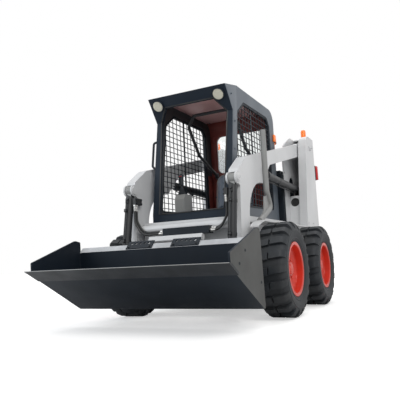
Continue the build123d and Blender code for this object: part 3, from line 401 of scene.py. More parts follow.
def paint_finishes(paint):
    """The sprayed finishes by slot name."""
    return {
        "body_paint": painted("Body enamel", paint.body, patch=0.07, scale=2.2, rough=0.34),
        "grey_paint": painted("Grey enamel", paint.bar, patch=0.12, scale=5.0, rough=0.45),
        "black_paint": painted(
            "Black enamel", paint.black, patch=0.2, scale=4.0, rough=0.5, dust=0.5, coat=0.02, shine=0.24
        ),
        "engine_iron": painted(
            "Engine iron", (0.07, 0.07, 0.068), patch=0.4, scale=6.0, rough=0.6, dust=1.5, coat=0.0
        ),
        "cab_paint": painted(
            "Cab enamel", paint.cab, patch=0.1, scale=2.5, rough=0.42, dust=0.7, coat=0.1
        ),
        # The front frame enamel is the cab grey darkened as painted shade on faces that look forward.
        "cab_front_shade": painted(
            "Front frame enamel", paint.cab_front, patch=0.12, scale=2.5, rough=0.55, dust=0.4,
            coat=0.0, shine=0.22
        ),
        "interior_paint": painted(
            "Red lining", paint.inside, patch=0.25, scale=4.0, rough=0.55, dust=0.3, coat=0.05
        ),
        "ceiling_lit_red": painted(
            "Ceiling enamel", paint.ceiling, patch=0.2, scale=4.0, rough=0.4, dust=0.2, coat=0.2
        ),
        # The pale lip finish is a painted reflection of the sky on the lip's upward faces.
        "lip_sky_reflection": painted(
            "Worn lip", paint.lip, patch=0.3, scale=5.0, rough=0.35, dust=0.3, coat=0.1
        ),
        "bucket_paint": painted(
            "Bucket enamel", paint.bucket, patch=0.25, scale=2.0, rough=0.5, dust=0.4, coat=0.01, shine=0.24
        ),
        # The side plate enamel is the bucket black made lighter on outward faces: painted light.
        "bucket_side_lit": painted(
            "Side plate enamel", paint.plate, patch=0.2, scale=3.0, rough=0.45, dust=0.5, coat=0.03, shine=0.3
        ),
        "dark_paint": painted(
            "Dark enamel", paint.dark, patch=0.15, scale=4.0, rough=0.42, dust=0.4, coat=0.05, shine=0.35
        ),
        "edge_steel": painted(
            "Edge enamel", (0.016, 0.020, 0.026), patch=0.35, scale=7.0, rough=0.42, dust=0.8,
            coat=0.05, shine=0.35
        ),
        "cylinder_paint": painted(
            "Cylinder enamel", (0.016, 0.018, 0.021), patch=0.2, scale=5.0, rough=0.38, dust=0.5,
            coat=0.1, shine=0.4
        ),
        "rim_paint": painted(
            "Rim enamel", paint.rim, patch=0.16, scale=5.0, rough=0.36, dust=0.5, coat=0.3
        ),
    }


def moulded_finishes(paint):
    """The plastics, rubbers and lenses by slot name."""
    grey_wear = (0.16, 0.16, 0.155)
    return {
        "lamp_lens": moulded(
            "Clear lens", (0.62, 0.60, 0.50), (0.8, 0.8, 0.7), worn=0.2, grain=220.0, rough=0.12, bump=0.2
        ),
        "amber_lens": lens_material("Amber lens", paint.amber, glow=0.25),
        "red_lens": lens_material("Red lens", paint.red, glow=0.05),
        "seat_cover": moulded(
            "Cushion cover", paint.seat, (0.3, 0.32, 0.35), worn=0.35, grain=420.0, rough=0.3, bump=0.2
        ),
        "console_plastic": moulded(
            "Console plastic", paint.console, (0.5, 0.5, 0.48), worn=0.2, grain=500.0, rough=0.55, bump=0.15
        ),
        "black_plastic": moulded(
            "Black plastic", paint.black, grey_wear, worn=0.15, grain=500.0, rough=0.5, bump=0.2
        ),
        "hose_rubber": moulded(
            "Hose rubber", (0.014, 0.015, 0.016), grey_wear, worn=0.12, grain=260.0, rough=0.42, bump=0.35
        ),
        "tyre_rubber": moulded(
            "Tyre rubber", paint.rubber, (0.13, 0.125, 0.115), worn=0.22, grain=240.0, rough=0.62, bump=0.3
        ),
    }


def make_finishes():
    """Every material of the machine by the record's slot name."""
    paint = bpy.context.scene.loader_paint
    chrome, chrome_stain = (0.68, 0.69, 0.70), (0.4, 0.38, 0.35)
    plating, plating_stain = (0.56, 0.56, 0.55), (0.3, 0.26, 0.2)
    return {
        **paint_finishes(paint),
        **moulded_finishes(paint),
        "window_glass": glass_material("Window glass"),
        "rod_chrome": steel("Rod chrome", chrome, chrome_stain, clouding=0.15, rough=0.1),
        "plated_steel": steel("Plated fittings", plating, plating_stain, clouding=0.25, rough=0.3),
    }


FINISHES = {}


def coat_of(slot):
    """The material of a slot."""
    if not FINISHES:
        FINISHES.update(make_finishes())
    return FINISHES[slot]


def piece(name, mesh_in_work, body, slot, finish=None, sharp=32.0):
    """A finished object from a bmesh, riding on a body, with a given finish or else the material of a slot.
    """
    bmesh.ops.recalc_face_normals(mesh_in_work, faces=mesh_in_work.faces)
    mesh = bpy.data.meshes.new(name)
    mesh_in_work.to_mesh(mesh)
    mesh_in_work.free()
    for face in mesh.polygons:
        face.use_smooth = True
    mesh.set_sharp_from_angle(angle=radians(sharp))
    made = bpy.data.objects.new(name, mesh)
    bpy.context.scene.collection.objects.link(made)
    mesh.materials.append(finish or coat_of(slot))
    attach(made, body)
    return made


def facing(origin, direction, up="Y"):
    """A place whose own Z points along a direction."""
    turn = Vector(direction).to_track_quat("Z", up).to_matrix().to_4x4()
    return Matrix.Translation(Vector(origin)) @ turn


def shifted(place, x, y, z):
    """A place moved along its own axes."""
    return place @ Matrix.Translation(Vector((x, y, z)))


def on_side(way, x, y, z):
    """A place at a machine point on one side, whose own Z points away from the middle."""
    return facing(at(way * x, y, z), (way, 0.0, 0.0))


def side_sheet(way, x, y=0.0):
    """A place whose own X runs to the rear, Y up and Z out of one side, from a row-frame x and y."""
    return Matrix(((0.0, 0.0, way, x), (1.0, 0.0, 0.0, y), (0.0, 1.0, 0.0, 0.0), (0.0, 0.0, 0.0, 1.0)))


def circle(radius, count, start=0.0):
    """Pairs of (x, y) evenly round a circle."""
    angles = [start + 2 * pi * step / count for step in range(count)]
    return [(radius * cos(angle), radius * sin(angle)) for angle in angles]


def turned(work, profile, place, steps=32):
    """Adds a lathe form from (radius, height) pairs about a place's Z."""
    pointed = 1e-6
    rings = []
    for radius, height in profile:
        spots = [(0.0, 0.0)] if radius < pointed else circle(radius, steps)
        rings.append([work.verts.new(place @ Vector((x, y, height))) for x, y in spots])
    for low, high in zip(rings, rings[1:]):
        for step in range(steps):
            after = (step + 1) % steps
            first, second = low[step % len(low)], low[after % len(low)]
            third, fourth = high[after % len(high)], high[step % len(high)]
            corners = list(dict.fromkeys((first, second, third, fourth)))
            if len(corners) > 2:
                work.faces.new(corners)


def plate(work, points, place, depth):
    """Adds a flat plate from (x, y) points on a place, thick along its Z."""
    low = [work.verts.new(place @ Vector((x, y, 0.0))) for x, y in points]
    high = [work.verts.new(place @ Vector((x, y, depth))) for x, y in points]
    work.faces.new(low[::-1])
    work.faces.new(high)
    join_rings(work, low, high)


def hex_nut(work, place, across, height, washer=True):
    """Adds a hexagon head with a chamfered top, on a washer."""
    washer_thick, washer_wide = 0.16, 1.35
    shoulder, flat = 0.86, 0.88
    radius = across / 2 / cos(pi / 6)
    base = 0.0
    if washer:
        base = height * washer_thick
        rim = radius * washer_wide
        turned(work, [(0.0, 0.0), (rim, 0.0), (rim, base), (0.0, base)], place, 20)
    top = base + height
    sides = [(radius, base), (radius, base + height * shoulder), (radius * flat, top)]
    turned(work, [(0.0, base), *sides, (0.0, top)], place, 6)


def soft_block(work, low, high, place=None, edge=0.004, segments=2):
    """Adds a block between two corners, with rounded edges."""
    place = place or Matrix.Identity(4)
    corners = bmesh.ops.create_cube(work, size=1.0)["verts"]
    middle = [(a + b) / 2 for a, b in zip(low, high)]
    for corner in corners:
        local = [m + c * (b - a) for m, c, a, b in zip(middle, corner.co, low, high)]
        corner.co = place @ Vector(local)
    lines = list({line for corner in corners for line in corner.link_edges})
    bmesh.ops.bevel(work, geom=lines, offset=edge, segments=segments, profile=0.5, affect="EDGES")


def side_block(work, way, across, along, upright, edge=0.004, segments=2):
    """Adds a block on one side from its reach out of the middle, along the row's frame and up."""
    left, right = sorted((way * across[0], way * across[1]))
    low, high = (left, along[0], upright[0]), (right, along[1], upright[1])
    soft_block(work, low, high, edge=edge, segments=segments)


def soft_plate(work, points, place, depth, edge=0.002):
    """Adds a flat plate from (x, y) points on a place, with eased edges."""
    before = set(work.edges)
    plate(work, points, place, depth)
    fresh = [line for line in work.edges if line not in before]
    bmesh.ops.bevel(work, geom=fresh, offset=edge, segments=2, profile=0.5, affect="EDGES")


def join_rings(work, low, high):
    """Adds the faces between two rings of as many points."""
    count = len(low)
    for step in range(count):
        after = (step + 1) % count
        work.faces.new((low[step], low[after], high[after], high[step]))


def pipe(work, points, radius, steps=10, ripple=0.0):
    """Adds a round bar along points, square to their run; a ripple thins every other ring."""
    rings = []
    last = len(points) - 1
    for index, point in enumerate(points):
        ahead = points[min(index + 1, last)] - points[max(index - 1, 0)]
        turn = ahead.to_track_quat("Z", "X").to_matrix()
        reach = radius if index % 2 else radius - ripple
        rings.append([work.verts.new(point + turn @ Vector((x, y, 0.0))) for x, y in circle(reach, steps)])
    for low, high in zip(rings, rings[1:]):
        join_rings(work, low, high)
    work.faces.new(rings[0][::-1])
    work.faces.new(rings[-1])


def bend_points(corners, radius, steps=6):
    """Points along straight runs whose corners are rounded off."""
    points = [corners[0]]
    for before, corner, after in zip(corners, corners[1:], corners[2:]):
        back = (before - corner).normalized() * radius
        on = (after - corner).normalized() * radius
        for step in range(steps + 1):
            part = step / steps
            first = corner + back * (1.0 - part)
            second = corner + on * part
            points.append(first.lerp(second, part))
    points.append(corners[-1])
    return points


def dome_bolt(work, place, radius, height):
    """Adds a round-headed bolt."""
    dome = ((1.0, 0.0), (1.0, 0.25), (0.92, 0.6), (0.66, 0.9), (0.3, 1.0))
    profile = [(radius * wide, height * rise) for wide, rise in dome]
    turned(work, [(0.0, 0.0), *profile, (0.0, height)], place, 16)


NIPPLE = (
    (0.0, 0.0), (0.006, 0.0), (0.006, 0.005), (0.0035, 0.006), (0.0035, 0.010), (0.0048, 0.012),
    (0.0048, 0.014), (0.0025, 0.0165), (0.0, 0.0165),
)


def grease_point(work, place):
    """Adds a small lubrication nipple."""
    turned(work, NIPPLE, place, 12)


class LOADER_OT_paint_frame(bpy.types.Operator):
    """Give every solid of the frame its finish, with another on some of its faces"""

    bl_idname = "loader.paint_frame"
    bl_label = "Paint Frame"

    def execute(self, context):
        for name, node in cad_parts.items():
            slot = NODE_FINISH.get(name)
            if slot is None:
                raise RuntimeError("no finish for " + name)
            node.data.materials.clear()
            node.data.materials.append(coat_of(slot))
            if name in FACE_FINISH:
                self.paint_faces(node, FACE_FINISH[name])
        return {"FINISHED"}

    def paint_faces(self, node, finishes):
        """Gives the faces that pass a test a finish of their own."""
        for slot, _ in finishes:
            node.data.materials.append(coat_of(slot))
        for face in node.data.polygons:
            spot = node.matrix_world @ face.center
            for index, (_, test) in enumerate(finishes):
                if test(spot, face.normal):
                    face.material_index = index + 1


CYLINDER_BAND_Z = 1.100
LIP_FOOT_Z = 0.605
# How far a face's normal leans along an axis before a test takes it.
CEILING_LEAN = 0.7
FRONT_LEAN = 0.35
SIDE_LEAN = 0.5
BACK_LEAN, BACK_TOP_LEAN = 0.2, 0.5
LIP_LEAN = 0.5
EDGE_LEAN, EDGE_UNDER_LEAN = 0.5, 0.6


def under_roof(spot, normal):
    """The roof's inner side, without the visor's slope."""
    return normal.z < -CEILING_LEAN


def forward(spot, normal):
    """The faces that look to the front."""
    return normal.y < -FRONT_LEAN


def inward(spot, normal):
    """The faces of a side wall that look into the cab."""
    return normal.x * spot.x < -SIDE_LEAN * abs(spot.x)


def inside_back(spot, normal):
    """The rear wall's inner side with its rounded top."""
    return normal.y < -BACK_LEAN or normal.z < -BACK_TOP_LEAN


def eye_shade_band(spot, normal):
    """The tilt barrels' upper eyes, which take grey as a painted shade of the arm's white nose."""
    return spot.z > CYLINDER_BAND_Z


def lip_top(spot, normal):
    """The sloped top of the bucket's lip."""
    return normal.z > LIP_LEAN and spot.z > LIP_FOOT_Z


def edge_highlight_face(spot, normal):
    """The forward faces of the cutting edge, which take grey as a painted highlight."""
    return normal.y < -EDGE_LEAN and normal.z > -EDGE_UNDER_LEAN


def outer_side(spot, normal):
    """The outward faces of a pair of side plates."""
    return normal.x * spot.x > SIDE_LEAN * abs(spot.x)


# Forward faces of the cab's roof and sides take the darker front frame grey: painted shade.
FACE_FINISH = {
    # The roof's inner faces take the paler ceiling red: painted light on the headlining.
    "cab_roof": (("cab_front_shade", forward), ("ceiling_lit_red", under_roof)),
    "cab_back": (("interior_paint", inside_back),),
    # The side walls' inner faces take the dark grey: painted shade inside the cab.
    "cab_side_left": (("cab_front_shade", forward), ("dark_paint", inward)),
    "cab_side_right": (("cab_front_shade", forward), ("dark_paint", inward)),
    # The tilt barrels' upper eyes take grey: painted shade of the arm's white nose.
    "tilt_barrels": (("grey_paint", eye_shade_band),),
    # The lip's upward faces take a pale colour: painted reflection of the sky.
    "bucket_shell": (("lip_sky_reflection", lip_top),),
    # The side plates' outward faces take a lighter grey: painted light.
    "bucket_sides": (("bucket_side_lit", outer_side),),
    # The cutting edge's forward faces take grey: painted highlight.
    "cutting_edge": (("grey_paint", edge_highlight_face),),
}
NODE_FINISH = {
    "main_frame": "body_paint", "tower_left": "body_paint", "tower_right": "body_paint",
    "fenders": "body_paint", "guard_bars": "grey_paint", "axle_housings": "black_paint",
    "engine_block": "engine_iron", "rear_door": "body_paint", "engine_lid": "black_paint",
    "cab_floor": "cab_paint", "cab_front": "cab_front_shade", "cab_roof": "cab_paint",
    "cab_back": "cab_paint", "cab_side_left": "cab_paint", "cab_side_right": "cab_paint",
    "side_screen_left": "black_paint", "side_screen_right": "black_paint", "rear_window": "window_glass",
    "work_lamps": "black_plastic", "grab_handle": "black_paint", "amber_lamps": "amber_lens",
    "tail_lamps": "red_lens", "seat_pedestal": "interior_paint", "seat": "seat_cover",
    "consoles": "console_plastic", "joysticks": "black_plastic", "seat_bar": "dark_paint",
    "lift_arm_left": "body_paint", "lift_arm_right": "body_paint", "arm_cross_tube": "body_paint",
    "hose_guard": "black_paint", "arm_hoses": "hose_rubber", "lift_barrels": "cylinder_paint",
    "lift_rods": "rod_chrome", "tilt_barrels": "cylinder_paint", "tilt_rods": "rod_chrome",
    "coupler": "body_paint", "bucket_shell": "bucket_paint", "bucket_sides": "bucket_paint",
    "cutting_edge": "edge_steel", "bucket_steps": "black_paint",
}
for wheel in WHEELS:
    NODE_FINISH["tyre_" + wheel] = "tyre_rubber"
    NODE_FINISH["rim_" + wheel] = "rim_paint"


class LOADER_OT_mould_tyres(bpy.types.Operator):
    """Mould the four lugged tyres over the frame's faceted ones"""

    bl_idname = "loader.mould_tyres"
    bl_label = "Mould Tyres"

    CARCASS_STEPS = 96
    # Half of the carcass as pairs of (distance from the middle plane, radius), bead to crown.
    WALL = (
        (0.1037, 0.2063), (0.1037, 0.2235), (0.1100, 0.2290), (0.1170, 0.2365), (0.1205, 0.2440),
        (0.1222, 0.2500), (0.1250, 0.2525), (0.1252, 0.2565), (0.1236, 0.2590), (0.1262, 0.2680),
        (0.1290, 0.2800), (0.1308, 0.2920), (0.1314, 0.3020), (0.1310, 0.3110), (0.1318, 0.3130),
        (0.1316, 0.3170), (0.1298, 0.3190), (0.1272, 0.3280), (0.1225, 0.3390), (0.1150, 0.3490),
        (0.1040, 0.3580), (0.0900, 0.3640), (0.0700, 0.3675), (0.0400, 0.3688), (0.0, 0.3692),
    )
    TREAD_FROM = 14
    LUG_TIP = 0.393
    # A lug's top as pairs of (distance from the middle plane, drop below the tip).
    LUG_RUN = (
        (0.006, 0.0), (0.030, 0.0), (0.060, 0.0), (0.088, 0.0), (0.100, 0.004), (0.112, 0.016),
        (0.121, 0.030), (0.128, 0.046),
    )
    LUG_MIDDLE = 0.066
    LUG_SLANT = 0.14
    LUG_STAGGER = 0.012
    LUG_FLARE = 0.004
    LUG_ROOT = 0.006
    LUG_ROUND = 0.0045
    LUG_CORNER = radians(40)

    def execute(self, context):
        sizes = context.scene.loader_sizes
        for wheel in WHEELS:
            centre = centre_of("tyre_" + wheel)
            outward = 1.0 if wheel.endswith("left") else -1.0
            work = bmesh.new()
            profile = [(radius, outward * across) for across, radius in self.WALL]
            profile += [(radius, -outward * across) for across, radius in reversed(self.WALL[:-1])]
            profile.append(profile[0])
            turned(work, profile, facing(centre, (1.0, 0.0, 0.0)), self.CARCASS_STEPS)
            bmesh.ops.remove_doubles(work, verts=work.verts, dist=SAME_SPOT)
            for step in range(sizes.lugs_each_side):
                angle = 2 * pi * step / sizes.lugs_each_side
                for half in WAYS:
                    self.add_lug(work, centre, outward, angle, sizes.lug_width / 2, half)
            tyre = piece("Tyre_" + wheel, work, "wheel_" + wheel, "tyre_rubber", sharp=38.0)
            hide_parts("tyre_" + wheel)
        return {"FINISHED"}

    def crown(self, across):
        """The carcass radius at a distance from the tyre's middle plane."""
        tread = self.WALL[self.TREAD_FROM:]
        for (outer, low), (inner, high) in zip(tread, tread[1:]):
            if inner <= across <= outer:
                return low + (high - low) * (outer - across) / (outer - inner)
        return tread[0][1]

    def add_lug(self, work, centre, outward, angle, width, half):
        """Adds one slanted block on one half of the tread, out over the shoulder."""
        grid = []
        for across, drop in self.LUG_RUN:
            slant = -half * ((across - self.LUG_MIDDLE) * self.LUG_SLANT + self.LUG_STAGGER)
            top, foot = self.LUG_TIP - drop, self.crown(across) - self.LUG_ROOT
            base = width + self.LUG_FLARE
            row = []
            for offset, radius in ((-base, foot), (-width, top), (width, top), (base, foot)):
                turn = angle + (slant + offset) / self.LUG_TIP
                spot = Vector((outward * half * across, -radius * sin(turn), radius * cos(turn)))
                row.append(work.verts.new(centre + spot))
            grid.append(row)
        lines = set()
        for low, high in zip(grid, grid[1:]):
            for column in range(3):
                face = work.faces.new((low[column], low[column + 1], high[column + 1], high[column]))
                lines.update(face.edges)
        for row in (grid[0], grid[-1]):
            lines.update(work.faces.new(row).edges)
        keen = []
        for line in lines:
            if len(line.link_faces) == 2 and line.calc_face_angle(0.0) > self.LUG_CORNER:
                keen.append(line)
        bmesh.ops.bevel(work, geom=keen, offset=self.LUG_ROUND, segments=2, profile=0.6, affect="EDGES")


class LOADER_OT_fit_wheels(bpy.types.Operator):
    """Add wheel nuts, valves, weld rings and hub caps to the rims"""

    bl_idname = "loader.fit_wheels"
    bl_label = "Fit Wheels"

    NUT_COUNT = 8
    NUT_RING = 0.0775
    NUT_FACE = 0.039
    STUD_RISE = 0.0165
    WELDS = ((0.1945, 0.0555), (0.0962, 0.0205))
    WELD_BEAD = 0.0035
    VALVE = (
        (0.0, -0.004), (0.011, -0.004), (0.0095, 0.006), (0.0055, 0.012), (0.005, 0.030),
        (0.0062, 0.0305), (0.0062, 0.040), (0.004, 0.043), (0.0, 0.043),
    )
    VALVE_OUT = 0.034
    VALVE_RISE = 0.170
    CAP = (
        (0.0, -0.002), (0.056, -0.002), (0.057, 0.003), (0.054, 0.006), (0.044, 0.007),
        (0.042, 0.011), (0.030, 0.0135), (0.012, 0.0145), (0.0, 0.0145),
    )
    CAP_OUT = 0.065
    CAP_BOLT_RING = 0.049
    CAP_BOLT_SEAT = 0.0055

    def execute(self, context):
        for wheel in WHEELS:
            centre = centre_of("tyre_" + wheel)
            way = Vector((1.0 if wheel.endswith("left") else -1.0, 0.0, 0.0))
            nuts = bmesh.new()
            for y, z in circle(self.NUT_RING, self.NUT_COUNT, pi / self.NUT_COUNT):
                spot = centre + way * self.NUT_FACE + Vector((0.0, y, z))
                hex_nut(nuts, facing(spot, way), across=0.024, height=0.016)
                dome_bolt(nuts, facing(spot + way * self.STUD_RISE, way), radius=0.007, height=0.010)
            piece("Wheel_nuts_" + wheel, nuts, "wheel_" + wheel, "rim_paint")
            rings = bmesh.new()
            for radius, out in self.WELDS:
                self.add_bead(rings, facing(centre, way), radius, out)
            piece("Rim_welds_" + wheel, rings, "wheel_" + wheel, "rim_paint")
            valve = bmesh.new()
            spot = centre + way * self.VALVE_OUT + Vector((0.0, 0.0, self.VALVE_RISE))
            lean = way * 0.95 + Vector((0.0, 0.0, -0.3))
            turned(valve, self.VALVE, facing(spot, lean), 14)
            piece("Valve_" + wheel, valve, "wheel_" + wheel, "tyre_rubber")
            cap = bmesh.new()
            place = facing(centre + way * self.CAP_OUT, way)
            turned(cap, self.CAP, place, 40)
            for x, y in circle(self.CAP_BOLT_RING, 4, pi / 4):
                hex_nut(cap, shifted(place, x, y, self.CAP_BOLT_SEAT), across=0.010, height=0.005)
            piece("Hub_cap_" + wheel, cap, "chassis", "rim_paint")
        return {"FINISHED"}

    def add_bead(self, work, place, radius, out):
        """Adds a ring of weld about the wheel's axis."""
        bead = circle(self.WELD_BEAD, 8)
        turned(work, [(radius + x, out + y) for x, y in bead + bead[:1]], place, 72)
        bmesh.ops.remove_doubles(work, verts=work.verts, dist=SAME_SPOT)


class LOADER_OT_upholster_seat(bpy.types.Operator):
    """Stuff the seat's cushion and backrest over the frame's plain one"""

    bl_idname = "loader.upholster_seat"
    bl_label = "Upholster Seat"

    SHOULDER = 0.105
    COVER_INSET = 0.012
    PAD_ROUND = 0.020
    PAD_MESH = 0.006
    PAD_SWELL = 0.012
    PAD_GRIP = 0.020
    CHANNELS = (0.30, 0.52, 0.74)
    CHANNEL_DEEP, CHANNEL_WIDE = 0.007, 0.016
    BOLSTER = 0.68
    SEAM_DEEP, SEAM_WIDE = 0.009, 0.018
    HELD_LEAN, SEWN_LEAN = 0.6, 0.35
    PRESSURE = 4.0
    CLOTH_FRAMES = 20

    def execute(self, context):
        low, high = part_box("seat")
        wide = high[0] - self.COVER_INSET
        base = low[2]
        front, rear = low[1], high[1]
        pan = [
            (front + 0.022, base + 0.012), (rear - 0.085, base + 0.012), (rear - 0.110, base + 0.088),
            (front + 0.015, base + 0.083),
        ]
        back = [
            (rear - 0.125, base + 0.115), (rear - 0.052, base + 0.100), (rear - 0.012, base + 0.500),
            (rear - 0.076, base + 0.508),
        ]
        cushion = self.stuffed("Operator_cushion", pan, wide, base + self.PAD_GRIP)
        backrest = self.stuffed("Operator_backrest", back, wide)
        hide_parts("seat")
        edge = wide - 0.006
        nose = Vector((edge, front + 0.006, base + 0.056))
        tail = nose + Vector((0.0, 0.30, 0.0))
        self.add_piping("Cushion_piping", tail, nose, 0.06, 8, 0.0035, "black_plastic")
        # The backrest's piping is pale grey: partly real piping, partly a painted highlight along the
        # backrest's edge.
        edge = wide - 0.007
        foot = Vector((edge, rear - 0.112, base + 0.150))
        head = Vector((edge, rear - 0.066, base + 0.499))
        self.add_piping("Backrest_piping", foot, head, self.SHOULDER, 12, 0.0040, "console_plastic")
        return {"FINISHED"}

    def add_piping(self, name, end, corner, bend, steps, radius, slot):
        """Piping round three sides of a pad, from its left end and corner."""
        run = [Vector((-point.x, point.y, point.z)) for point in (end, corner)] + [corner, end]
        work = bmesh.new()
        pipe(work, bend_points(run, bend, steps), radius, 8)
        piece(name, work, "chassis", slot)

    def stuffed(self, name, side, wide, floor=None):
        """A pad from its side outline, blown up by cloth pressure and sewn across in channels.

        A pad with a floor lies on it. One without stands upright.
        """
        upright = floor is None
        work = bmesh.new()
        plate(work, side, side_sheet(1.0, -wide), 2 * wide)
        lines = list(work.edges)
        bmesh.ops.bevel(work, geom=lines, offset=self.PAD_ROUND, segments=4, profile=0.5, affect="EDGES")
        pad = piece(name, work, "chassis", "seat_cover", sharp=180.0)
        self.remesh(pad)
        if upright:
            self.round_shoulders(pad, wide, side[3][1])
        held = pad.vertex_groups.new(name="Held")
        for point in pad.data.vertices:
            gripped = point.normal.y > self.HELD_LEAN if upright else point.co.z < floor
            if gripped:
                held.add([point.index], 1.0, "REPLACE")
        self.inflate(pad)
        self.sew(pad, side, wide, upright)
        smooth = pad.modifiers.new("Smooth cover", "SUBSURF")
        smooth.levels = 1
        smooth.render_levels = 1
        return pad

    def round_shoulders(self, pad, wide, top):
        """Rounds the upper corners of the backrest."""
        for point in pad.data.vertices:
            rise = min(1.0, (point.co.z - top) / self.SHOULDER + 1.0)
            over = abs(point.co.x) - (wide - self.SHOULDER)
            if rise > 0.0 and over > 0.0:
                kept = wide - self.SHOULDER + over * (1.0 - rise * rise) ** 0.5
                point.co.x = kept if point.co.x > 0.0 else -kept

    def remesh(self, pad):
        """Gives the pad an even mesh."""
        even = pad.modifiers.new("Even mesh", "REMESH")
        even.mode = "VOXEL"
        even.voxel_size = self.PAD_MESH
        self.keep(pad)
        for face in pad.data.polygons:
            face.use_smooth = True

    def keep(self, pad):
        """Applies the pad's modifiers to its mesh."""
        graph = bpy.context.evaluated_depsgraph_get()
        made = bpy.data.meshes.new_from_object(pad.evaluated_get(graph))
        old = pad.data
        pad.modifiers.clear()
        pad.data = made
        bpy.data.meshes.remove(old)

    def inflate(self, pad):
        """Swells the pad with cloth pressure, no point further than the pad's swell."""
        scene = bpy.context.scene
        start = [point.co.copy() for point in pad.data.vertices]
        cloth = pad.modifiers.new("Stuffing", "CLOTH")
        cloth.settings.quality = 4
        cloth.settings.use_pressure = True
        cloth.settings.uniform_pressure_force = self.PRESSURE
        cloth.settings.vertex_group_mass = "Held"
        cloth.settings.effector_weights.gravity = 0.0
        cloth.collision_settings.use_collision = False
        cloth.point_cache.frame_start = 1
        cloth.point_cache.frame_end = self.CLOTH_FRAMES
        for step in range(1, self.CLOTH_FRAMES + 1):
            scene.frame_set(step)
        graph = bpy.context.evaluated_depsgraph_get()
        swollen = [point.co.copy() for point in pad.evaluated_get(graph).data.vertices]
        pad.modifiers.clear()
        scene.frame_set(1)
        for point, old, new in zip(pad.data.vertices, start, swollen):
            move = new - old
            if move.length > self.PAD_SWELL:
                move *= self.PAD_SWELL / move.length
            point.co = old + move

    def sew(self, pad, side, wide, upright):
        """Draws in the sewn channels and side seams."""
        along = Vector(REAR)
        if upright:
            along = Vector((0.0, side[3][0] - side[0][0], side[3][1] - side[0][1])).normalized()
        reaches = [along.dot(Vector((0.0, y, z))) for y, z in side]
        low, high = min(reaches), max(reaches)
        channels = [low + (high - low) * part for part in self.CHANNELS]
        bolster = wide * self.BOLSTER
        normals = [point.normal.copy() for point in pad.data.vertices]
        for point, normal in zip(pad.data.vertices, normals):
            out = abs(point.co.x)
            depth = self.groove(abs(out - bolster), self.SEAM_DEEP, self.SEAM_WIDE)
            if out < bolster:
                reach = along.dot(point.co)
                for channel in channels:
                    near = abs(reach - channel)
                    depth = max(depth, self.groove(near, self.CHANNEL_DEEP, self.CHANNEL_WIDE))
            face_up = -normal.y if upright else normal.z
            if face_up > self.SEWN_LEAN:
                point.co -= normal * depth

    def groove(self, near, deep, wide):
        """How far a seam draws the cover in at a distance from it."""
        return deep * max(0.0, 1.0 - near / wide) ** 2


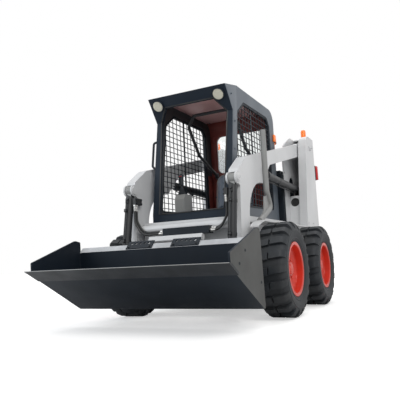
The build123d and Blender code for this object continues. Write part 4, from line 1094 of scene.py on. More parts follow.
class LOADER_OT_line_cab(bpy.types.Operator):
    """Line the cab, edge its doorway and dress its pillars, lamps, screens and controls"""

    bl_idname = "loader.line_cab"
    bl_label = "Line Cab"

    SILL = (-0.712, 0.930)
    BROW = (-0.571, 1.817)
    VISOR = (-0.722, 2.015)
    HEAD_Z = 1.930
    DOOR_HALF = 0.342
    DOOR_TAPER = 0.020
    HEAD_CUT = 0.095
    CEILING_GAP, CEILING_THICK = 0.0305, 0.012
    LINING_GAP, LINING_THICK = 0.0303, 0.010
    LINING_SINK = 0.0005
    REAR_LININGS = (
        (-0.350, 0.350, 0.905, 1.455), (-0.350, -0.296, 1.470, 1.900), (0.296, 0.350, 1.470, 1.900),
    )
    PILLAR = (
        (-0.706, 0.858), (-0.706, 0.932), (-0.566, 1.813), (-0.712, 2.010), (-0.452, 2.068),
        (-0.478, 1.850), (-0.513, 1.615), (-0.616, 0.940), (-0.616, 0.858),
    )
    PILLAR_THICK = 0.0030
    PILLAR_BOLTS = ((-0.660, 0.900), (-0.625, 1.180), (-0.580, 1.460), (-0.540, 1.720), (-0.590, 1.960))
    LAMP_WAY = (0.0, -0.795, -0.606)
    LAMP_SPOT = (0.310, -0.6737, 1.9516)
    LAMP_BEZEL = (
        (0.0500, 0.0005), (0.0530, 0.0005), (0.0545, 0.004), (0.0545, 0.0145), (0.0530, 0.0185),
        (0.0505, 0.0190), (0.0490, 0.0170), (0.0488, 0.0143), (0.0, 0.0143),
    )
    LAMP_LENS = ((0.0487, 0.0144), (0.0480, 0.0160), (0.0400, 0.0172), (0.0200, 0.0180), (0.0, 0.0182))
    LAMP_SCREW_RING, LAMP_SCREW_SEAT = 0.0518, 0.0180
    BEAD_ROWS = 5
    BEAD_PITCH = 0.0118
    BEAD_REACH = 0.0435
    BEAD_SEAT = 0.0164
    SCREEN_BOLTS = (
        (-0.585, 1.00), (-0.560, 1.20), (-0.528, 1.40), (-0.496, 1.60), (-0.465, 1.79), (-0.36, 1.90),
        (-0.15, 1.948), (0.10, 1.952), (0.30, 1.957), (0.412, 1.86), (0.424, 1.64), (0.424, 1.42),
        (0.424, 1.20), (0.40, 0.99), (0.20, 0.968), (-0.05, 0.965), (-0.30, 0.963), (-0.50, 0.963),
    )
    SCREEN_SINK = 0.0002
    STICK_X, STICK_Y = 0.310, -0.290
    BOOT_FOLDS = 5
    STICK_GRIP = (
        (0.0105, 0.090), (0.0205, 0.094), (0.0225, 0.110), (0.0208, 0.126), (0.0232, 0.142),
        (0.0215, 0.158), (0.0245, 0.176), (0.0255, 0.190), (0.0220, 0.200), (0.0130, 0.206), (0.0, 0.2075),
    )
    SWITCH_Y, SWITCH_RISE = -0.3105, 0.180

    def execute(self, context):
        self.line_walls()
        self.edge_doorway()
        self.fold_pillars()
        self.glaze_lamps()
        self.bolt_screens()
        self.boot_sticks()
        return {"FINISHED"}

    def line_walls(self):
        """Red headlining, rear lining and lower side linings, with black buttons."""
        work = bmesh.new()
        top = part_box("cab_roof")[1][2] - self.CEILING_GAP
        low, high = (-0.330, row_y(-0.420), top - self.CEILING_THICK), (0.330, row_y(0.440), top)
        soft_block(work, low, high, edge=0.008, segments=3)
        # The headlining takes the paler ceiling red: painted light on the red lining.
        piece("Cab_ceiling", work, "chassis", "interior_paint", coat_of("ceiling_lit_red"))
        work = bmesh.new()
        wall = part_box("cab_back")[1][1] - self.LINING_GAP
        for x_low, x_high, z_low, z_high in self.REAR_LININGS:
            low, high = (x_low, wall - self.LINING_THICK, z_low), (x_high, wall, z_high)
            soft_block(work, low, high, edge=0.006, segments=3)
        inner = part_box("cab_side_left")[0][0]
        across, along = (inner - self.LINING_THICK, inner), (row_y(0.440), row_y(0.538))
        for way in WAYS:
            side_block(work, way, across, along, (0.900, 1.440), 0.004, 3)
        piece("Cab_lining", work, "chassis", "interior_paint")
        dots = bmesh.new()
        under = top - self.CEILING_THICK + self.LINING_SINK
        for x in (-0.30, -0.10, 0.10, 0.30):
            for y in (-0.390, 0.010, 0.410):
                dome_bolt(dots, facing(at(x, y, under), DOWN), radius=0.009, height=0.004)
        before = wall - self.LINING_THICK + self.LINING_SINK
        for x in (-0.32, -0.11, 0.11, 0.32):
            for z in (0.95, 1.20, 1.43):
                dome_bolt(dots, facing((x, before, z), FRONT), radius=0.009, height=0.004)
        piece("Lining_buttons", dots, "chassis", "black_plastic")

    def front_y(self, z):
        """The machine y of the front frame's face at a height."""
        low, high = (self.SILL, self.BROW) if z <= self.BROW[1] else (self.BROW, self.VISOR)
        return low[0] + (high[0] - low[0]) * (z - low[1]) / (high[1] - low[1])

    def doorway(self):
        """The doorway's edge on the front frame, all round."""
        steps = 8
        sill, brow, half = self.SILL[1], self.BROW[1], self.DOOR_HALF
        corners = [
            (0.0, sill), (half - self.DOOR_TAPER, sill), (half, brow), (half - self.HEAD_CUT, self.HEAD_Z),
            (0.0, self.HEAD_Z),
        ]
        points = []
        for (x0, z0), (x1, z1) in zip(corners, corners[1:]):
            for step in range(steps):
                part = step / steps
                x, z = x0 + (x1 - x0) * part, z0 + (z1 - z0) * part
                points.append(at(x, self.front_y(z), z))
        points.append(at(0.0, self.front_y(self.HEAD_Z), self.HEAD_Z))
        return points + [Vector((-point.x, point.y, point.z)) for point in reversed(points[1:-1])]

    def edge_doorway(self):
        """A rubber bead round the doorway."""
        work = bmesh.new()
        points = self.doorway()
        pipe(work, points + points[:2], bpy.context.scene.loader_sizes.doorway_bead, 8)
        piece("Doorway_bead", work, "chassis", "hose_rubber")

    def fold_pillars(self):
        """The folded front pillar plates on both cab sides, with bolts."""
        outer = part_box("cab_side_left")[1][0]
        for side, way in SIDES:
            work = bmesh.new()
            soft_plate(work, self.PILLAR, side_sheet(way, way * outer, MID_Y), self.PILLAR_THICK, 0.0012)
            piece("Pillar_plate_" + side, work, "chassis", "cab_paint")
            bolts = bmesh.new()
            for y, z in self.PILLAR_BOLTS:
                hex_nut(bolts, on_side(way, outer + self.PILLAR_THICK, y, z), across=0.013, height=0.007)
            piece("Pillar_bolts_" + side, bolts, "chassis", "cab_paint")

    def glaze_lamps(self):
        """Bezels and bead lenses on the two work lamps."""
        bezel = bmesh.new()
        lens = bmesh.new()
        x, y, z = self.LAMP_SPOT
        for way in WAYS:
            place = facing(at(way * x, y, z), self.LAMP_WAY)
            turned(bezel, self.LAMP_BEZEL, place, 40)
            for along, over in circle(self.LAMP_SCREW_RING, 3, 0.5):
                screw = shifted(place, along, over, self.LAMP_SCREW_SEAT)
                dome_bolt(bezel, screw, radius=0.0035, height=0.002)
            turned(lens, self.LAMP_LENS, place, 36)
            self.bead_lens(lens, place)
        piece("Lamp_bezels", bezel, "chassis", "black_plastic")
        piece("Lamp_lenses", lens, "chassis", "lamp_lens")

    def bead_lens(self, work, place):
        """Adds the staggered rows of beads on a lens."""
        row_pitch = self.BEAD_PITCH * 0.866
        for row in range(-self.BEAD_ROWS, self.BEAD_ROWS + 1):
            for column in range(-self.BEAD_ROWS, self.BEAD_ROWS + 1):
                x = (column + (0.5 if row % 2 else 0.0)) * self.BEAD_PITCH
                y = row * row_pitch
                if x * x + y * y < self.BEAD_REACH ** 2:
                    dome_bolt(work, shifted(place, x, y, self.BEAD_SEAT), radius=0.0050, height=0.0032)

    def bolt_screens(self):
        """Round-headed bolts on the frames of the two side screens."""
        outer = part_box("side_screen_left")[1][0] - self.SCREEN_SINK
        for side, way in SIDES:
            work = bmesh.new()
            for y, z in self.SCREEN_BOLTS:
                dome_bolt(work, on_side(way, outer, y, z), radius=0.0065, height=0.004)
            piece("Screen_bolts_" + side, work, "chassis", "black_paint")

    def boot_sticks(self):
        """Pleated boots, grips and thumb switches over the two sticks."""
        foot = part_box("joysticks")[0][2]
        boots = bmesh.new()
        pleats = [(0.040, 0.0005)]
        for fold in range(self.BOOT_FOLDS):
            height = 0.006 + fold * 0.012
            wide = 0.041 - fold * 0.0045
            pleats += [(wide, height), (wide - 0.006, height + 0.006)]
        pleats += [(0.014, 0.066), (0.0105, 0.070)]
        for way in WAYS:
            place = facing(at(way * self.STICK_X, self.STICK_Y, foot), UP)
            turned(boots, pleats, place, 28)
            turned(boots, self.STICK_GRIP, place, 28)
        piece("Stick_boots", boots, "chassis", "black_plastic", sharp=50.0)
        knobs = bmesh.new()
        for way in WAYS:
            for x in (-0.008, 0.008):
                spot = at(way * self.STICK_X + x, self.SWITCH_Y, foot + self.SWITCH_RISE)
                dome_bolt(knobs, facing(spot, (0.0, -1.0, 0.15)), radius=0.0055, height=0.005)
        # The switches take the red lens with its faint glow, so they glow though they are no lamp: painted
        # glow.
        piece("Stick_switches", knobs, "chassis", "red_lens")


class LOADER_OT_fit_hydraulics(bpy.types.Operator):
    """Add hose ends, cylinder glands, pipes, pin caps and grease points"""

    bl_idname = "loader.fit_hydraulics"
    bl_label = "Fit Hydraulics"

    NOSE_PIN = (-0.905, 1.145)
    LIFT_EYE = (-0.265, 1.280)
    ARM_PINS = ((*NOSE_PIN, 0.030), (*LIFT_EYE, 0.031))
    ARM_FACE = 0.549
    TOWER_PIN = (1.130, 1.735)
    TOWER_CAP = (
        (0.0, 0.0085), (0.026, 0.0085), (0.028, 0.010), (0.028, 0.012), (0.024, 0.014), (0.010, 0.014),
        (0.0, 0.014),
    )
    TOWER_CAP_SINK = 0.010
    COUPLER_PIN = (0.5698, -0.935, 0.210)
    COUPLER_CAP = ((0.0, 0.0), (0.0235, 0.0), (0.0235, 0.003), (0.020, 0.0055), (0.0, 0.0055))
    HOSE_X = 0.439
    HOSE_Y = -0.905
    HOSE_PITCH = 0.024
    HOSE_TOP = 1.012
    HOSE_LOW, HOSE_LOW_STEP = 0.758, 0.018
    HOSE_ENDS = {1.0: 0.2838, -1.0: -0.1518}
    BLOCK_FACE = 0.423
    SLEEVE_NUT = (
        (0.0, 0.0), (0.0145, 0.0), (0.0155, 0.0015), (0.0155, 0.0145), (0.0145, 0.016), (0.0108, 0.016),
    )
    CYLINDER_X = 0.4975
    PIPE_FROM, PIPE_BACK = 0.110, 0.020
    PIPE_LIFT, PIPE_RADIUS = 0.014, 0.005
    PORT_AT = 0.095
    CLAMPS = (0.30, 0.72)
    CLAMP_HALF, CLAMP_OVER = 0.011, 0.0025

    def execute(self, context):
        self.end_hoses()
        self.dress_cylinder(
            "lift", (1.200, 1.235), self.LIFT_EYE, radius=0.038, end=1.285, rod_radius=0.022, port=1.0
        )
        self.dress_cylinder(
            "tilt", self.NOSE_PIN, (-1.03175, 0.39073), radius=0.036, end=0.640, rod_radius=0.020, port=-1.0
        )
        self.cap_pins()
        return {"FINISHED"}

    def end_hoses(self):
        """Crimped sleeves and nuts at both ends of the arm's hoses."""
        sleeves = bmesh.new()
        for way in WAYS:
            for index in range(2):
                y = self.HOSE_Y - self.HOSE_PITCH * index
                self.add_sleeve(sleeves, facing(at(way * self.HOSE_X, y, self.HOSE_TOP), DOWN))
                spot = at(self.HOSE_ENDS[way], y, self.HOSE_LOW - self.HOSE_LOW_STEP * index)
                self.add_sleeve(sleeves, facing(spot, (way, 0.0, 0.0)), 0.75)
        piece("Hose_sleeves", sleeves, "lift_arm", "hose_rubber", coat_of("plated_steel"))
        blocks = bmesh.new()
        for way in WAYS:
            for z in (1.022, 1.058):
                for y in (-0.930, -0.850):
                    spot = at(way * self.BLOCK_FACE, y, z)
                    hex_nut(blocks, facing(spot, (-way, 0.0, 0.0)), across=0.012, height=0.007)
        piece("Hose_block_bolts", blocks, "lift_arm", "black_paint")

    def add_sleeve(self, work, place, scale=1.0):
        """Adds a nut and a crimped sleeve over a hose end."""
        turned(work, self.SLEEVE_NUT, place, 6)
        crimp = [(0.0108, 0.016), (0.0108, 0.021), (0.0132, 0.0215)]
        for ring in range(4):
            start = 0.0225 + ring * 0.0075 * scale
            crimp += [(0.0136, start), (0.0136, start + 0.0045 * scale), (0.0126, start + 0.006 * scale)]
        crimp += [(0.0132, 0.0235 + 0.030 * scale), (0.0102, 0.0240 + 0.030 * scale)]
        turned(work, crimp, place, 20)

    def dress_cylinder(self, name, base, rod, radius, end, rod_radius, port):
        """Gland, wiper, port, a hard pipe and clamps on both of one kind of cylinder."""
        run = Vector((0.0, rod[0] - base[0], rod[1] - base[1])).normalized()
        out = Vector((0.0, -run.z, run.y)) * port
        gland = [
            (radius + 0.005, -0.004), (radius + 0.005, 0.0), (radius + 0.002, 0.003),
            (radius - 0.004, 0.004), (rod_radius + 0.010, 0.005), (rod_radius + 0.008, 0.010),
            (rod_radius + 0.001, 0.011),
        ]
        clamp = [
            (radius - 0.001, -self.CLAMP_HALF), (radius + self.CLAMP_OVER, -self.CLAMP_HALF),
            (radius + self.CLAMP_OVER, self.CLAMP_HALF), (radius - 0.001, self.CLAMP_HALF),
        ]
        metal = bmesh.new()
        paint = bmesh.new()
        for way in WAYS:
            origin = at(way * self.CYLINDER_X, base[0], base[1])
            head = facing(origin + run * end, run)
            turned(paint, gland, head, 32)
            for x, y in circle(radius - 0.006, 6):
                hex_nut(metal, shifted(head, x, y, 0.0035), across=0.008, height=0.004, washer=False)
            lift = out * (radius + self.PIPE_LIFT)
            first, last = origin + run * self.PIPE_FROM, origin + run * (end - self.PIPE_BACK)
            path = [first + out * (radius + 0.006), first + lift, last + lift, last + out * (radius + 0.002)]
            pipe(metal, bend_points(path, 0.007, 5), self.PIPE_RADIUS, 10)
            for part in self.CLAMPS:
                spot = origin + run * (end * part)
                turned(paint, clamp, facing(spot, run), 32)
                self.add_clip(paint, spot + out * (radius + 0.007), run, out)
            port_spot = origin + run * self.PORT_AT + out * (radius + 0.008)
            hex_nut(metal, facing(port_spot, out), across=0.018, height=0.010)
        piece(name.capitalize() + "_pipes", metal, name + "_barrel", "cylinder_paint")
        piece(name.capitalize() + "_glands", paint, name + "_barrel", "cylinder_paint")

    def add_clip(self, work, spot, run, out):
        """Adds a saddle clip over a pipe."""
        turn = Matrix((run.cross(out), run, out)).transposed().to_4x4()
        place = Matrix.Translation(spot) @ turn
        soft_block(work, (-0.011, -0.010, -0.008), (0.011, 0.010, 0.015), place, edge=0.003)

    def cap_pins(self):
        """Collars and grease points on the arms' and towers' pins, and caps on the coupler's."""
        caps = bmesh.new()
        for way in WAYS:
            for y, z, radius in self.ARM_PINS:
                place = on_side(way, self.ARM_FACE, y, z)
                collar = [
                    (0.0, 0.0), (radius, 0.0), (radius, 0.003), (radius - 0.004, 0.006), (0.016, 0.006),
                    (0.014, 0.0035), (0.0, 0.0035),
                ]
                turned(caps, collar, place, 28)
                grease_point(caps, shifted(place, 0.0, 0.0, 0.003))
        piece("Arm_pin_caps", caps, "lift_arm", "body_paint")
        pivots = bmesh.new()
        for side, way in SIDES:
            face = abs(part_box("tower_" + side)[1 if way > 0 else 0][0])
            place = on_side(way, face - self.TOWER_CAP_SINK, *self.TOWER_PIN)
            turned(pivots, self.TOWER_CAP, place, 28)
            grease_point(pivots, shifted(place, 0.0, 0.0, 0.0135))
        piece("Pivot_caps", pivots, "chassis", "body_paint")
        ears = bmesh.new()
        for way in WAYS:
            place = on_side(way, *self.COUPLER_PIN)
            turned(ears, self.COUPLER_CAP, place, 24)
            hex_nut(ears, shifted(place, 0.0, 0.0, 0.005), across=0.014, height=0.008)
        piece("Coupler_pin_caps", ears, "bucket", "body_paint", coat_of("plated_steel"))


class LOADER_OT_trim_bucket(bpy.types.Operator):
    """Add welds and bolts to the bucket, with black discs for its bolt holes as painted shade"""

    bl_idname = "loader.trim_bucket"
    bl_label = "Trim Bucket"

    TURN = radians(29.0)
    PIN = (-0.935, 0.210)
    HEEL = (-0.196, -0.201)
    BACK = radians(58.0)
    BACK_HEIGHT = 0.484
    LIP = radians(74.0)
    SHEET = 0.014
    SIDE_INNER, SIDE_OUTER = 0.8012, 0.8152
    FLOOR_WELD = (-0.745, -0.560, -0.400, -0.245)
    FLOOR_WELD_Z = -0.1865
    BACK_WELD = (0.040, 0.200, 0.360, 0.478)
    BACK_WELD_OFF = -0.0145
    EAR_SIDES = (0.4485, 0.5455)
    EAR_WELD = (0.118, 0.240, 0.420)
    EAR_WELD_OFF = 0.0185
    WELD_STEP = 0.006
    WELD_RIPPLE = 0.0011
    STEP_BOLTS = (0.108, 0.306)
    STEP_BOLT_UP, STEP_BOLT_OUT = 0.020, 0.0083
    SIDE_HOLES = ((-1.532, 0.553), (-1.640, 0.470), (-1.262, 0.330))
    SIDE_HOLE = ((0.0105, 0.0), (0.0105, 0.0012), (0.0085, 0.0012), (0.0075, 0.0004), (0.0, 0.0004))

    def place(self, x, y, z):
        """A row-frame point from the bucket's own level points."""
        back = -self.TURN
        turned_y = y * cos(back) - z * sin(back)
        turned_z = y * sin(back) + z * cos(back)
        return at(x, self.PIN[0] + turned_y, self.PIN[1] + turned_z)

    def on_back(self, x, distance, off):
        """A point up the bucket's back, off its outer face."""
        y = self.HEEL[0] - cos(self.BACK) * distance + sin(self.BACK) * off
        z = self.HEEL[1] + sin(self.BACK) * distance + cos(self.BACK) * off
        return self.place(x, y, z)

    def on_lip(self, x, distance, off):
        """A point up the bucket's lip, in front of its front face."""
        y = self.HEEL[0] - cos(self.BACK) * self.BACK_HEIGHT - sin(self.BACK) * self.SHEET
        z = self.HEEL[1] + sin(self.BACK) * self.BACK_HEIGHT - cos(self.BACK) * self.SHEET
        y += cos(self.LIP) * distance - sin(self.LIP) * off
        z += sin(self.LIP) * distance + cos(self.LIP) * off
        return self.place(x, y, z)

    def way(self, y, z):
        """A direction from the bucket's level frame."""
        return self.place(0.0, y, z) - self.place(0.0, 0.0, 0.0)

    def execute(self, context):
        self.weld_seams()
        bolts = bmesh.new()
        front_way = self.way(-sin(self.LIP), cos(self.LIP))
        for side in WAYS:
            for x in self.STEP_BOLTS:
                spot = self.on_lip(side * x, self.STEP_BOLT_UP, self.STEP_BOLT_OUT)
                hex_nut(bolts, facing(spot, front_way), across=0.013, height=0.008)
        piece("Bucket_bolts", bolts, "bucket", "edge_steel")
        # The side plates' holes are not cut: black dished discs stand for the shade in them, painted shade.
        holes = bmesh.new()
        for y, z in self.SIDE_HOLES:
            for side in WAYS:
                turned(holes, self.SIDE_HOLE, on_side(side, self.SIDE_OUTER, y, z), 20)
        piece("Side_plate_hole_shades", holes, "bucket", "black_paint")
        return {"FINISHED"}

    def weld_seams(self):
        """Beads along the side plates' inner seams and the coupler's ears."""
        welds = bmesh.new()
        for side in WAYS:
            inner = side * self.SIDE_INNER
            floor = [self.place(inner, y, self.FLOOR_WELD_Z) for y in self.FLOOR_WELD]
            rise = [self.on_back(inner, distance, self.BACK_WELD_OFF) for distance in self.BACK_WELD]
            self.add_weld(welds, floor + rise)
            for x in self.EAR_SIDES:
                seam = [self.on_back(side * x, distance, self.EAR_WELD_OFF) for distance in self.EAR_WELD]
                self.add_weld(welds, seam)
        piece("Bucket_welds", welds, "bucket", "bucket_paint")

    def add_weld(self, work, corners):
        """Adds a rippled weld bead along points."""
        points = []
        for start, stop in zip(corners, corners[1:]):
            count = max(2, int((stop - start).length / self.WELD_STEP))
            points += [start.lerp(stop, step / count) for step in range(count)]
        points.append(corners[-1])
        pipe(work, points, bpy.context.scene.loader_sizes.weld_bead, 6, self.WELD_RIPPLE)


class LOADER_OT_trim_body(bpy.types.Operator):
    """Add lamps, latches, hinges, vents, covers and bolts to the hull and towers"""

    bl_idname = "loader.trim_body"
    bl_label = "Trim Body"

    TOWER_BEACON = (0.560, 1.200, 1.865)
    CAB_BEACON = (0.370, 0.616, 1.734)
    BEACON_RIBS = 5
    DOOR_FACE = 1.440
    DOOR_STRAPS = (0.880, 1.263)
    DOOR_LATCH = (
        (0.0, -0.012), (0.016, -0.012), (0.016, 0.0), (0.013, 0.003), (0.007, 0.003), (0.006, 0.001),
        (0.0, 0.001),
    )
    FRAME_HALF, FRAME_BAR = 0.36, 0.012
    FRAME_LOW, FRAME_HIGH = 0.500, 0.905
    DOOR_WIRE, DOOR_PITCH = 0.0012, 0.012
    LID_WIRE, LID_PITCH = 0.0014, 0.015
    GAP_INNER, GAP_OUTER = 0.4425, 0.5515
    GAP_LOW, GAP_HIGH = 0.816, 1.165
    PLATE_FRONT, PLATE_BACK = 0.030, 0.036
    PLATE_STEPS = 48
    HOLE_Z, HOLE_RADIUS = 1.092, 0.044
    TOWER_FOOT = (0.785, 0.812)
    TOWER_LEAN = 0.169 / 0.925
    GROMMET_DEPTH = 0.033
    GROMMET = (
        (0.0, 0.004), (0.034, 0.004), (0.036, -0.003), (0.041, -0.006), (0.047, -0.006), (0.049, -0.003),
        (0.049, 0.006), (0.0, 0.006),
    )
    TOWER_BOLTS = (0.84, 1.05, 1.26)
    TOWER_SIDE, TOWER_BOLT_Z = 0.640, 0.850
    HULL_SIDE = 0.430
    HULL_BOLT_Z = 0.62
    SILL_FACE, SILL_BOLT_Z = -0.800, 0.815
    AXLES = (-0.523, 0.523)
    AXLE_Z, AXLE_BOLT_RING = 0.393, 0.110
    SHELF_TOP = 0.812

    def execute(self, context):
        self.dress_beacons()
        self.dress_tail_lamps()
        self.dress_door()
        self.back_vents()
        self.cover_towers()
        self.shade_bay_gaps()
        self.bolt_hull()
        self.tread_fenders()
        return {"FINISHED"}

    def dress_beacons(self):
        """Ribbed amber domes with black collars on both towers and behind the cab, and a corner lens."""
        lenses = bmesh.new()
        collars = bmesh.new()
        x, y, z = self.TOWER_BEACON
        tall = bpy.context.scene.loader_sizes.beacon_height
        for way in WAYS:
            self.add_beacon(lenses, collars, at(way * x, y, z), foot=0.014, height=tall, radius=0.027)
        self.add_beacon(lenses, collars, at(*self.CAB_BEACON), foot=0.004, height=0.084, radius=0.024)
        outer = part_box("cab_side_left")[1][0]
        low, high = (outer + 0.0005, row_y(0.534), 1.738), (outer + 0.0205, row_y(0.594), 1.816)
        soft_block(lenses, low, high, edge=0.007, segments=4)
        piece("Beacon_lenses", lenses, "chassis", "amber_lens", sharp=50.0)
        piece("Beacon_collars", collars, "chassis", "black_plastic")

    def add_beacon(self, lenses, collars, spot, foot, height, radius):
        """Adds one ribbed dome and its collar."""
        place = facing(spot, UP)
        dome = [(radius + 0.0015, foot + 0.010)]
        rise = (height - foot - 0.026) / self.BEACON_RIBS
        for rib in range(self.BEACON_RIBS):
            low = foot + 0.012 + rib * rise
            dome += [
                (radius + 0.0030, low + rise * 0.25), (radius + 0.0030, low + rise * 0.7),
                (radius + 0.0010, low + rise * 0.9),
            ]
        dome += [
            (radius, height - 0.010), (radius - 0.004, height), (radius - 0.012, height + 0.003),
            (0.0, height + 0.004),
        ]
        turned(lenses, dome, place, 32)
        collar = [
            (radius + 0.009, 0.0005), (radius + 0.010, 0.004), (radius + 0.010, foot + 0.004),
            (radius + 0.007, foot + 0.010), (radius + 0.001, foot + 0.011),
        ]
        turned(collars, collar, place, 32)

    def dress_tail_lamps(self):
        """Black bezels, ribbed red lenses, clear lower windows and red side markers at the tail."""
        bezels = bmesh.new()
        lenses = bmesh.new()
        clear = bmesh.new()
        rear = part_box("tail_lamps")[1][1]
        window = (0.5155, 0.5845)
        depth = (rear - 0.030, rear + 0.003)
        ribs = (window[0] + 0.004, window[1] - 0.004)
        for way in WAYS:
            side_block(bezels, way, (0.512, 0.588), (rear - 0.040, rear - 0.022), (1.362, 1.578))
            side_block(lenses, way, window, depth, (1.428, 1.5745), 0.008, 3)
            for rib in range(9):
                z = 1.440 + rib * 0.0148
                side_block(lenses, way, ribs, (rear + 0.001, rear + 0.0048), (z, z + 0.008), 0.0016)
            side_block(clear, way, window, depth, (1.3655, 1.425), 0.008, 3)
            side_block(bezels, way, (0.590, 0.625), (rear - 0.0415, rear - 0.020), (1.392, 1.572))
            side_block(lenses, way, (0.592, 0.647), (rear - 0.036, rear + 0.003), (1.397, 1.567), 0.010, 4)
        piece("Tail_bezels", bezels, "chassis", "black_plastic")
        piece("Tail_lenses", lenses, "chassis", "red_lens")
        piece("Tail_clear_lenses", clear, "chassis", "lamp_lens")

    def dress_door(self):
        """A latch, hinge straps and a pressed frame on the rear door."""
        work = bmesh.new()
        face = row_y(self.DOOR_FACE)
        soft_block(work, (0.285, face - 0.002, 0.965), (0.329, face + 0.0035, 1.135))
        turned(work, self.DOOR_LATCH, facing((0.307, face + 0.014, 1.150), REAR), 24)
        piece("Door_latch", work, "door", "black_paint")
        straps = bmesh.new()
        for z in self.DOOR_STRAPS:
            low, high = (-0.372, face - 0.001, z + 0.004), (-0.250, face + 0.005, z + 0.040)
            soft_block(straps, low, high, edge=0.002)
            for x in (-0.345, -0.300, -0.268):
                hex_nut(straps, facing((x, face + 0.005, z + 0.022), REAR), across=0.011, height=0.006)
        half, bar, top = self.FRAME_HALF, self.FRAME_BAR, self.FRAME_HIGH + self.FRAME_BAR
        bars = [(-half, half, z, z + bar) for z in (self.FRAME_LOW, self.FRAME_HIGH)]
        bars += [(x, x + bar, self.FRAME_LOW, top) for x in (-0.362, 0.350)]
        for x_low, x_high, z_low, z_high in bars:
            soft_block(straps, (x_low, face - 0.002, z_low), (x_high, face + 0.005, z_high), edge=0.003)
        piece("Door_straps", straps, "door", "body_paint")

    def back_vents(self):
        """Wire mesh behind the door's and lid's vent slots."""
        door = bmesh.new()
        y = row_y(1.4265)
        for column in range(49):
            x = -0.288 + column * self.DOOR_PITCH
            pipe(door, [Vector((x, y, 0.955)), Vector((x, y, 1.300))], self.DOOR_WIRE, 5)
        y -= 0.002
        for row in range(29):
            z = 0.958 + row * self.DOOR_PITCH
            pipe(door, [Vector((-0.292, y, z)), Vector((0.292, y, z))], self.DOOR_WIRE, 5)
        piece("Door_mesh", door, "door", "black_paint")
        lid = bmesh.new()
        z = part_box("engine_lid")[1][2] - 0.0135
        for column in range(47):
            x = -0.345 + column * self.LID_PITCH
            pipe(lid, [at(x, 0.725, z), at(x, 1.330, z)], self.LID_WIRE, 5)
        z -= 0.0025
        for row in range(41):
            y = 0.728 + row * self.LID_PITCH
            pipe(lid, [at(-0.350, y, z), at(0.350, y, z)], self.LID_WIRE, 5)
        piece("Lid_mesh", lid, "lid", "black_paint")

    def tower_y(self, z):
        """The machine y of the towers' leaning front at a height."""
        return self.TOWER_FOOT[0] + (z - self.TOWER_FOOT[1]) * self.TOWER_LEAN

    def cover_towers(self):
        """Plates with a grommeted hole in the towers' gaps below the lift cylinders, and foot bolts."""
        middle = (self.GAP_INNER + self.GAP_OUTER) / 2
        for side, way in SIDES:
            work = bmesh.new()
            rings = []
            for depth in (self.PLATE_FRONT, self.PLATE_BACK):
                for outline in (self.hole_edge(middle), self.gap_edge(middle)):
                    spots = [at(way * x, self.tower_y(z) + depth, z) for x, z in outline]
                    rings.append([work.verts.new(spot) for spot in spots])
            for first, second in ((0, 1), (1, 3), (3, 2), (2, 0)):
                join_rings(work, rings[first], rings[second])
            for y in self.TOWER_BOLTS:
                hex_nut(work, on_side(way, self.TOWER_SIDE, y, self.TOWER_BOLT_Z), across=0.014, height=0.007)
            piece("Tower_plate_" + side, work, "chassis", "body_paint")
            work = bmesh.new()
            spot = at(way * middle, self.tower_y(self.HOLE_Z) + self.GROMMET_DEPTH, self.HOLE_Z)
            turned(work, self.GROMMET, facing(spot, (0.0, 1.0, -self.TOWER_LEAN)), 40)
            piece("Tower_grommet_" + side, work, "chassis", "hose_rubber")

    def hole_edge(self, middle):
        """The hole in a tower's plate, as (x, z) points."""
        return [(middle + x, self.HOLE_Z + z) for x, z in circle(self.HOLE_RADIUS, self.PLATE_STEPS)]

    def gap_edge(self, middle):
        """The outline of a tower's plate, as (x, z) points that stand opposite the hole's."""
        least = 1e-6
        points = []
        for x, z in circle(1.0, self.PLATE_STEPS):
            rise = self.GAP_HIGH - self.HOLE_Z if z > 0 else self.HOLE_Z - self.GAP_LOW
            reach = min((self.GAP_OUTER - middle) / max(abs(x), least), rise / max(abs(z), least))
            points.append((middle + x * reach, self.HOLE_Z + z * reach))
        return points

    def shade_bay_gaps(self):
        """Black liners and upright slats along both sides of the engine bay, and its bulkhead: dark sheets as
        painted shade in the bay.
        """
        work = bmesh.new()
        for way in WAYS:
            along = (row_y(0.610), row_y(1.385))
            side_block(work, way, (0.4250, 0.4285), along, (0.852, 1.392), 0.001, 1)
            for step in range(4):
                y = row_y(0.613 + step * 0.019)
                side_block(work, way, (0.4280, 0.4400), (y, y + 0.009), (0.872, 1.385), 0.002)
        front = row_y(0.611)
        soft_block(work, (-0.4255, front, 0.853), (0.4255, front + 0.004, 1.391), edge=0.001, segments=1)
        piece("Bay_shade_screens", work, "chassis", "black_paint")

    def bolt_hull(self):
        """Axle flange bolts and hull bolts, and the belly cover with its own."""
        work = bmesh.new()
        for way in WAYS:
            for axle in self.AXLES:
                for y, z in circle(self.AXLE_BOLT_RING, 8):
                    place = on_side(way, self.HULL_SIDE, axle + y, self.AXLE_Z + z)
                    hex_nut(work, place, across=0.020, height=0.012)
            for y in (-0.25, 0.0, 0.25):
                hex_nut(work, on_side(way, self.HULL_SIDE, y, self.HULL_BOLT_Z), across=0.016, height=0.009)
        for x in (-0.36, -0.12, 0.12, 0.36):
            hex_nut(work, facing(at(x, self.SILL_FACE, self.SILL_BOLT_Z), FRONT), across=0.016, height=0.009)
        piece("Hull_bolts", work, "chassis", "body_paint")
        belly = bmesh.new()
        soft_block(belly, at(-0.22, -0.30, 0.1995), at(0.22, 0.30, 0.2055), edge=0.003)
        for x in (-0.20, 0.0, 0.20):
            for y in (-0.28, 0.28):
                hex_nut(belly, facing(at(x, y, 0.1998), DOWN), across=0.016, height=0.009)
        piece("Belly_cover", belly, "chassis", "black_paint")

    def tread_fenders(self):
        """Rows of raised studs on the fender shelves."""
        work = bmesh.new()
        pitch, row_pitch = 0.026, 0.022
        for way in WAYS:
            for row in range(3):
                x = 0.575 + row * row_pitch
                start = -0.20 + (pitch / 2 if row % 2 else 0.0)
                for column in range(38):
                    spot = at(way * x, start + column * pitch, self.SHELF_TOP)
                    dome_bolt(work, facing(spot, UP), radius=0.0055, height=0.0022)
        piece("Fender_studs", work, "chassis", "body_paint")


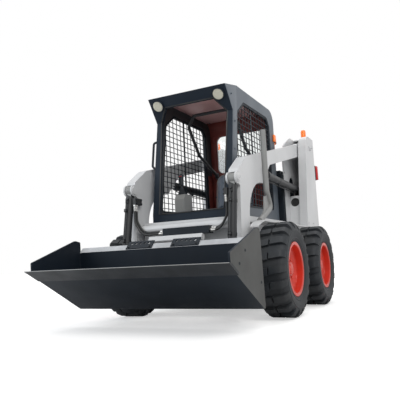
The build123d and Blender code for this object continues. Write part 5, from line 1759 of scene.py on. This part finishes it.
class LOADER_OT_set_stage(bpy.types.Operator):
    """Lay the floor, hang the lights and set the camera"""

    bl_idname = "loader.set_stage"
    bl_label = "Set Stage"

    AIM = (0.0, 0.0, 0.9)
    SHADOW_NEAR, SHADOW_FAR = 2.2, 5.5

    def execute(self, context):
        stage = context.scene.loader_stage
        self.lay_floor(stage)
        self.hang_light("Key light", (3.9, -4.5, 5.5), 3.2, stage.key_power, (1.0, 0.985, 0.96))
        self.hang_light("Fill light", (-4.2, -5.2, 3.4), 4.0, stage.fill_power, (0.86, 0.93, 1.0))
        self.hang_light("Top light", (0.4, 1.8, 6.2), 4.5, stage.fill_power, (1.0, 1.0, 1.0))
        self.light_sky(context.scene, stage)
        self.place_camera(context.scene, stage)
        context.scene.view_settings.view_transform = "Standard"
        return {"FINISHED"}

    def lay_floor(self, stage):
        """A wide floor that shows white to the camera and keeps a soft shadow."""
        work = bmesh.new()
        half, sink = 30.0, 0.0005
        corners = [(-half, -half), (half, -half), (half, half), (-half, half)]
        work.faces.new([work.verts.new((x, y, -sink)) for x, y in corners])
        mesh = bpy.data.meshes.new("Studio floor")
        work.to_mesh(mesh)
        work.free()
        floor = bpy.data.objects.new("Studio_floor", mesh)
        bpy.context.scene.collection.objects.link(floor)
        material = bpy.data.materials.new("Floor paper")
        material.use_nodes = True
        tree = material.node_tree
        surface = tree.nodes["Principled BSDF"]
        surface.inputs["Roughness"].default_value = 0.9
        surface.inputs["Specular IOR Level"].default_value = 0.1
        fibre = speckle(tree, 40.0, detail=5.0)
        shade = [channel * 0.985 for channel in stage.floor]
        feed(tree, surface.inputs["Base Color"], blend_colours(tree, fibre, solid(stage.floor), solid(shade)))
        spot = tree.nodes.new("ShaderNodeTexCoord").outputs["Object"]
        reach = tree.nodes.new("ShaderNodeVectorMath")
        reach.operation = "LENGTH"
        tree.links.new(spot, reach.inputs[0])
        fade = tree.nodes.new("ShaderNodeMapRange")
        fade.interpolation_type = "SMOOTHSTEP"
        tree.links.new(reach.outputs["Value"], fade.inputs["Value"])
        fade.inputs["From Min"].default_value = self.SHADOW_NEAR
        fade.inputs["From Max"].default_value = self.SHADOW_FAR
        fade.inputs["To Min"].default_value = stage.floor_lift
        fade.inputs["To Max"].default_value = 1.0
        path = tree.nodes.new("ShaderNodeLightPath")
        surface.inputs["Emission Color"].default_value = (1.0, 1.0, 1.0, 1.0)
        glow = calc(tree, "MULTIPLY", fade.outputs["Result"], path.outputs["Is Camera Ray"])
        tree.links.new(glow, surface.inputs["Emission Strength"])
        mesh.materials.append(material)

    def hang_light(self, name, place, width, power, colour):
        """A square soft light aimed at the machine."""
        lamp = bpy.data.lights.new(name, "AREA")
        lamp.size = width
        lamp.energy = power
        lamp.color = colour
        hung = bpy.data.objects.new(name, lamp)
        hung.location = place
        aim = Vector(self.AIM) - Vector(place)
        hung.rotation_euler = aim.to_track_quat("-Z", "Y").to_euler()
        bpy.context.scene.collection.objects.link(hung)

    def light_sky(self, scene, stage):
        """Even light all round, shown as white to the camera, to mirrors and through glass."""
        world = bpy.data.worlds.new("Studio sky")
        world.use_nodes = True
        scene.world = world
        tree = world.node_tree
        glow = tree.nodes["Background"]
        path = tree.nodes.new("ShaderNodeLightPath")
        seen = calc(tree, "MAXIMUM", path.outputs["Is Camera Ray"], path.outputs["Is Glossy Ray"])
        seen = calc(tree, "MAXIMUM", seen, path.outputs["Is Transmission Ray"])
        strength = calc(tree, "MULTIPLY_ADD", seen, 1.0 - stage.sky, stage.sky)
        glow.inputs["Color"].default_value = (1.0, 1.0, 1.0, 1.0)
        tree.links.new(strength, glow.inputs["Strength"])

    def place_camera(self, scene, stage):
        """The camera at the photograph's place, turn and lens."""
        yaw, pitch, roll = stage.camera_yaw, stage.camera_pitch, stage.camera_roll
        ahead = Vector((-sin(yaw) * cos(pitch), cos(yaw) * cos(pitch), sin(pitch)))
        right = Vector((cos(yaw), sin(yaw), 0.0))
        up = right.cross(ahead)
        across = right * cos(roll) + up * sin(roll)
        upward = up * cos(roll) - right * sin(roll)
        lens = bpy.data.cameras.new("Photo camera")
        lens.sensor_width = 36.0
        lens.lens = stage.lens
        seen_from = bpy.data.objects.new("Photo camera", lens)
        turn = Matrix((across, upward, -ahead)).transposed().to_4x4()
        seen_from.matrix_world = Matrix.Translation(stage.camera_place) @ turn
        scene.collection.objects.link(seen_from)
        scene.camera = seen_from


OPERATORS = (
    LOADER_OT_paint_frame,
    LOADER_OT_mould_tyres,
    LOADER_OT_fit_wheels,
    LOADER_OT_upholster_seat,
    LOADER_OT_line_cab,
    LOADER_OT_fit_hydraulics,
    LOADER_OT_trim_bucket,
    LOADER_OT_trim_body,
    LOADER_OT_set_stage,
)


class LOADER_PT_dressing(bpy.types.Panel):
    """The loader's steps, colours and sizes"""

    bl_idname = "LOADER_PT_dressing"
    bl_label = "Skid-Steer Loader"
    bl_space_type = "VIEW_3D"
    bl_region_type = "UI"
    bl_category = "Loader"

    def draw(self, context):
        for step in OPERATORS:
            self.layout.operator(step.bl_idname)
        for settings in (context.scene.loader_paint, context.scene.loader_sizes, context.scene.loader_stage):
            box = self.layout.box()
            for name in settings.__annotations__:
                box.prop(settings, name)


CLASSES = (LoaderPaint, LoaderSizes, LoaderStage) + OPERATORS + (LOADER_PT_dressing,)


def register():
    for kind in CLASSES:
        bpy.utils.register_class(kind)
    bpy.types.Scene.loader_paint = bpy.props.PointerProperty(type=LoaderPaint)
    bpy.types.Scene.loader_sizes = bpy.props.PointerProperty(type=LoaderSizes)
    bpy.types.Scene.loader_stage = bpy.props.PointerProperty(type=LoaderStage)


def unregister():
    del bpy.types.Scene.loader_stage
    del bpy.types.Scene.loader_sizes
    del bpy.types.Scene.loader_paint
    for kind in reversed(CLASSES):
        bpy.utils.unregister_class(kind)


def main():
    register()
    bpy.ops.loader.paint_frame()
    bpy.ops.loader.mould_tyres()
    bpy.ops.loader.fit_wheels()
    bpy.ops.loader.upholster_seat()
    bpy.ops.loader.line_cab()
    bpy.ops.loader.fit_hydraulics()
    bpy.ops.loader.trim_bucket()
    bpy.ops.loader.trim_body()
    bpy.ops.loader.set_stage()


if __name__ == "__main__":
    main()
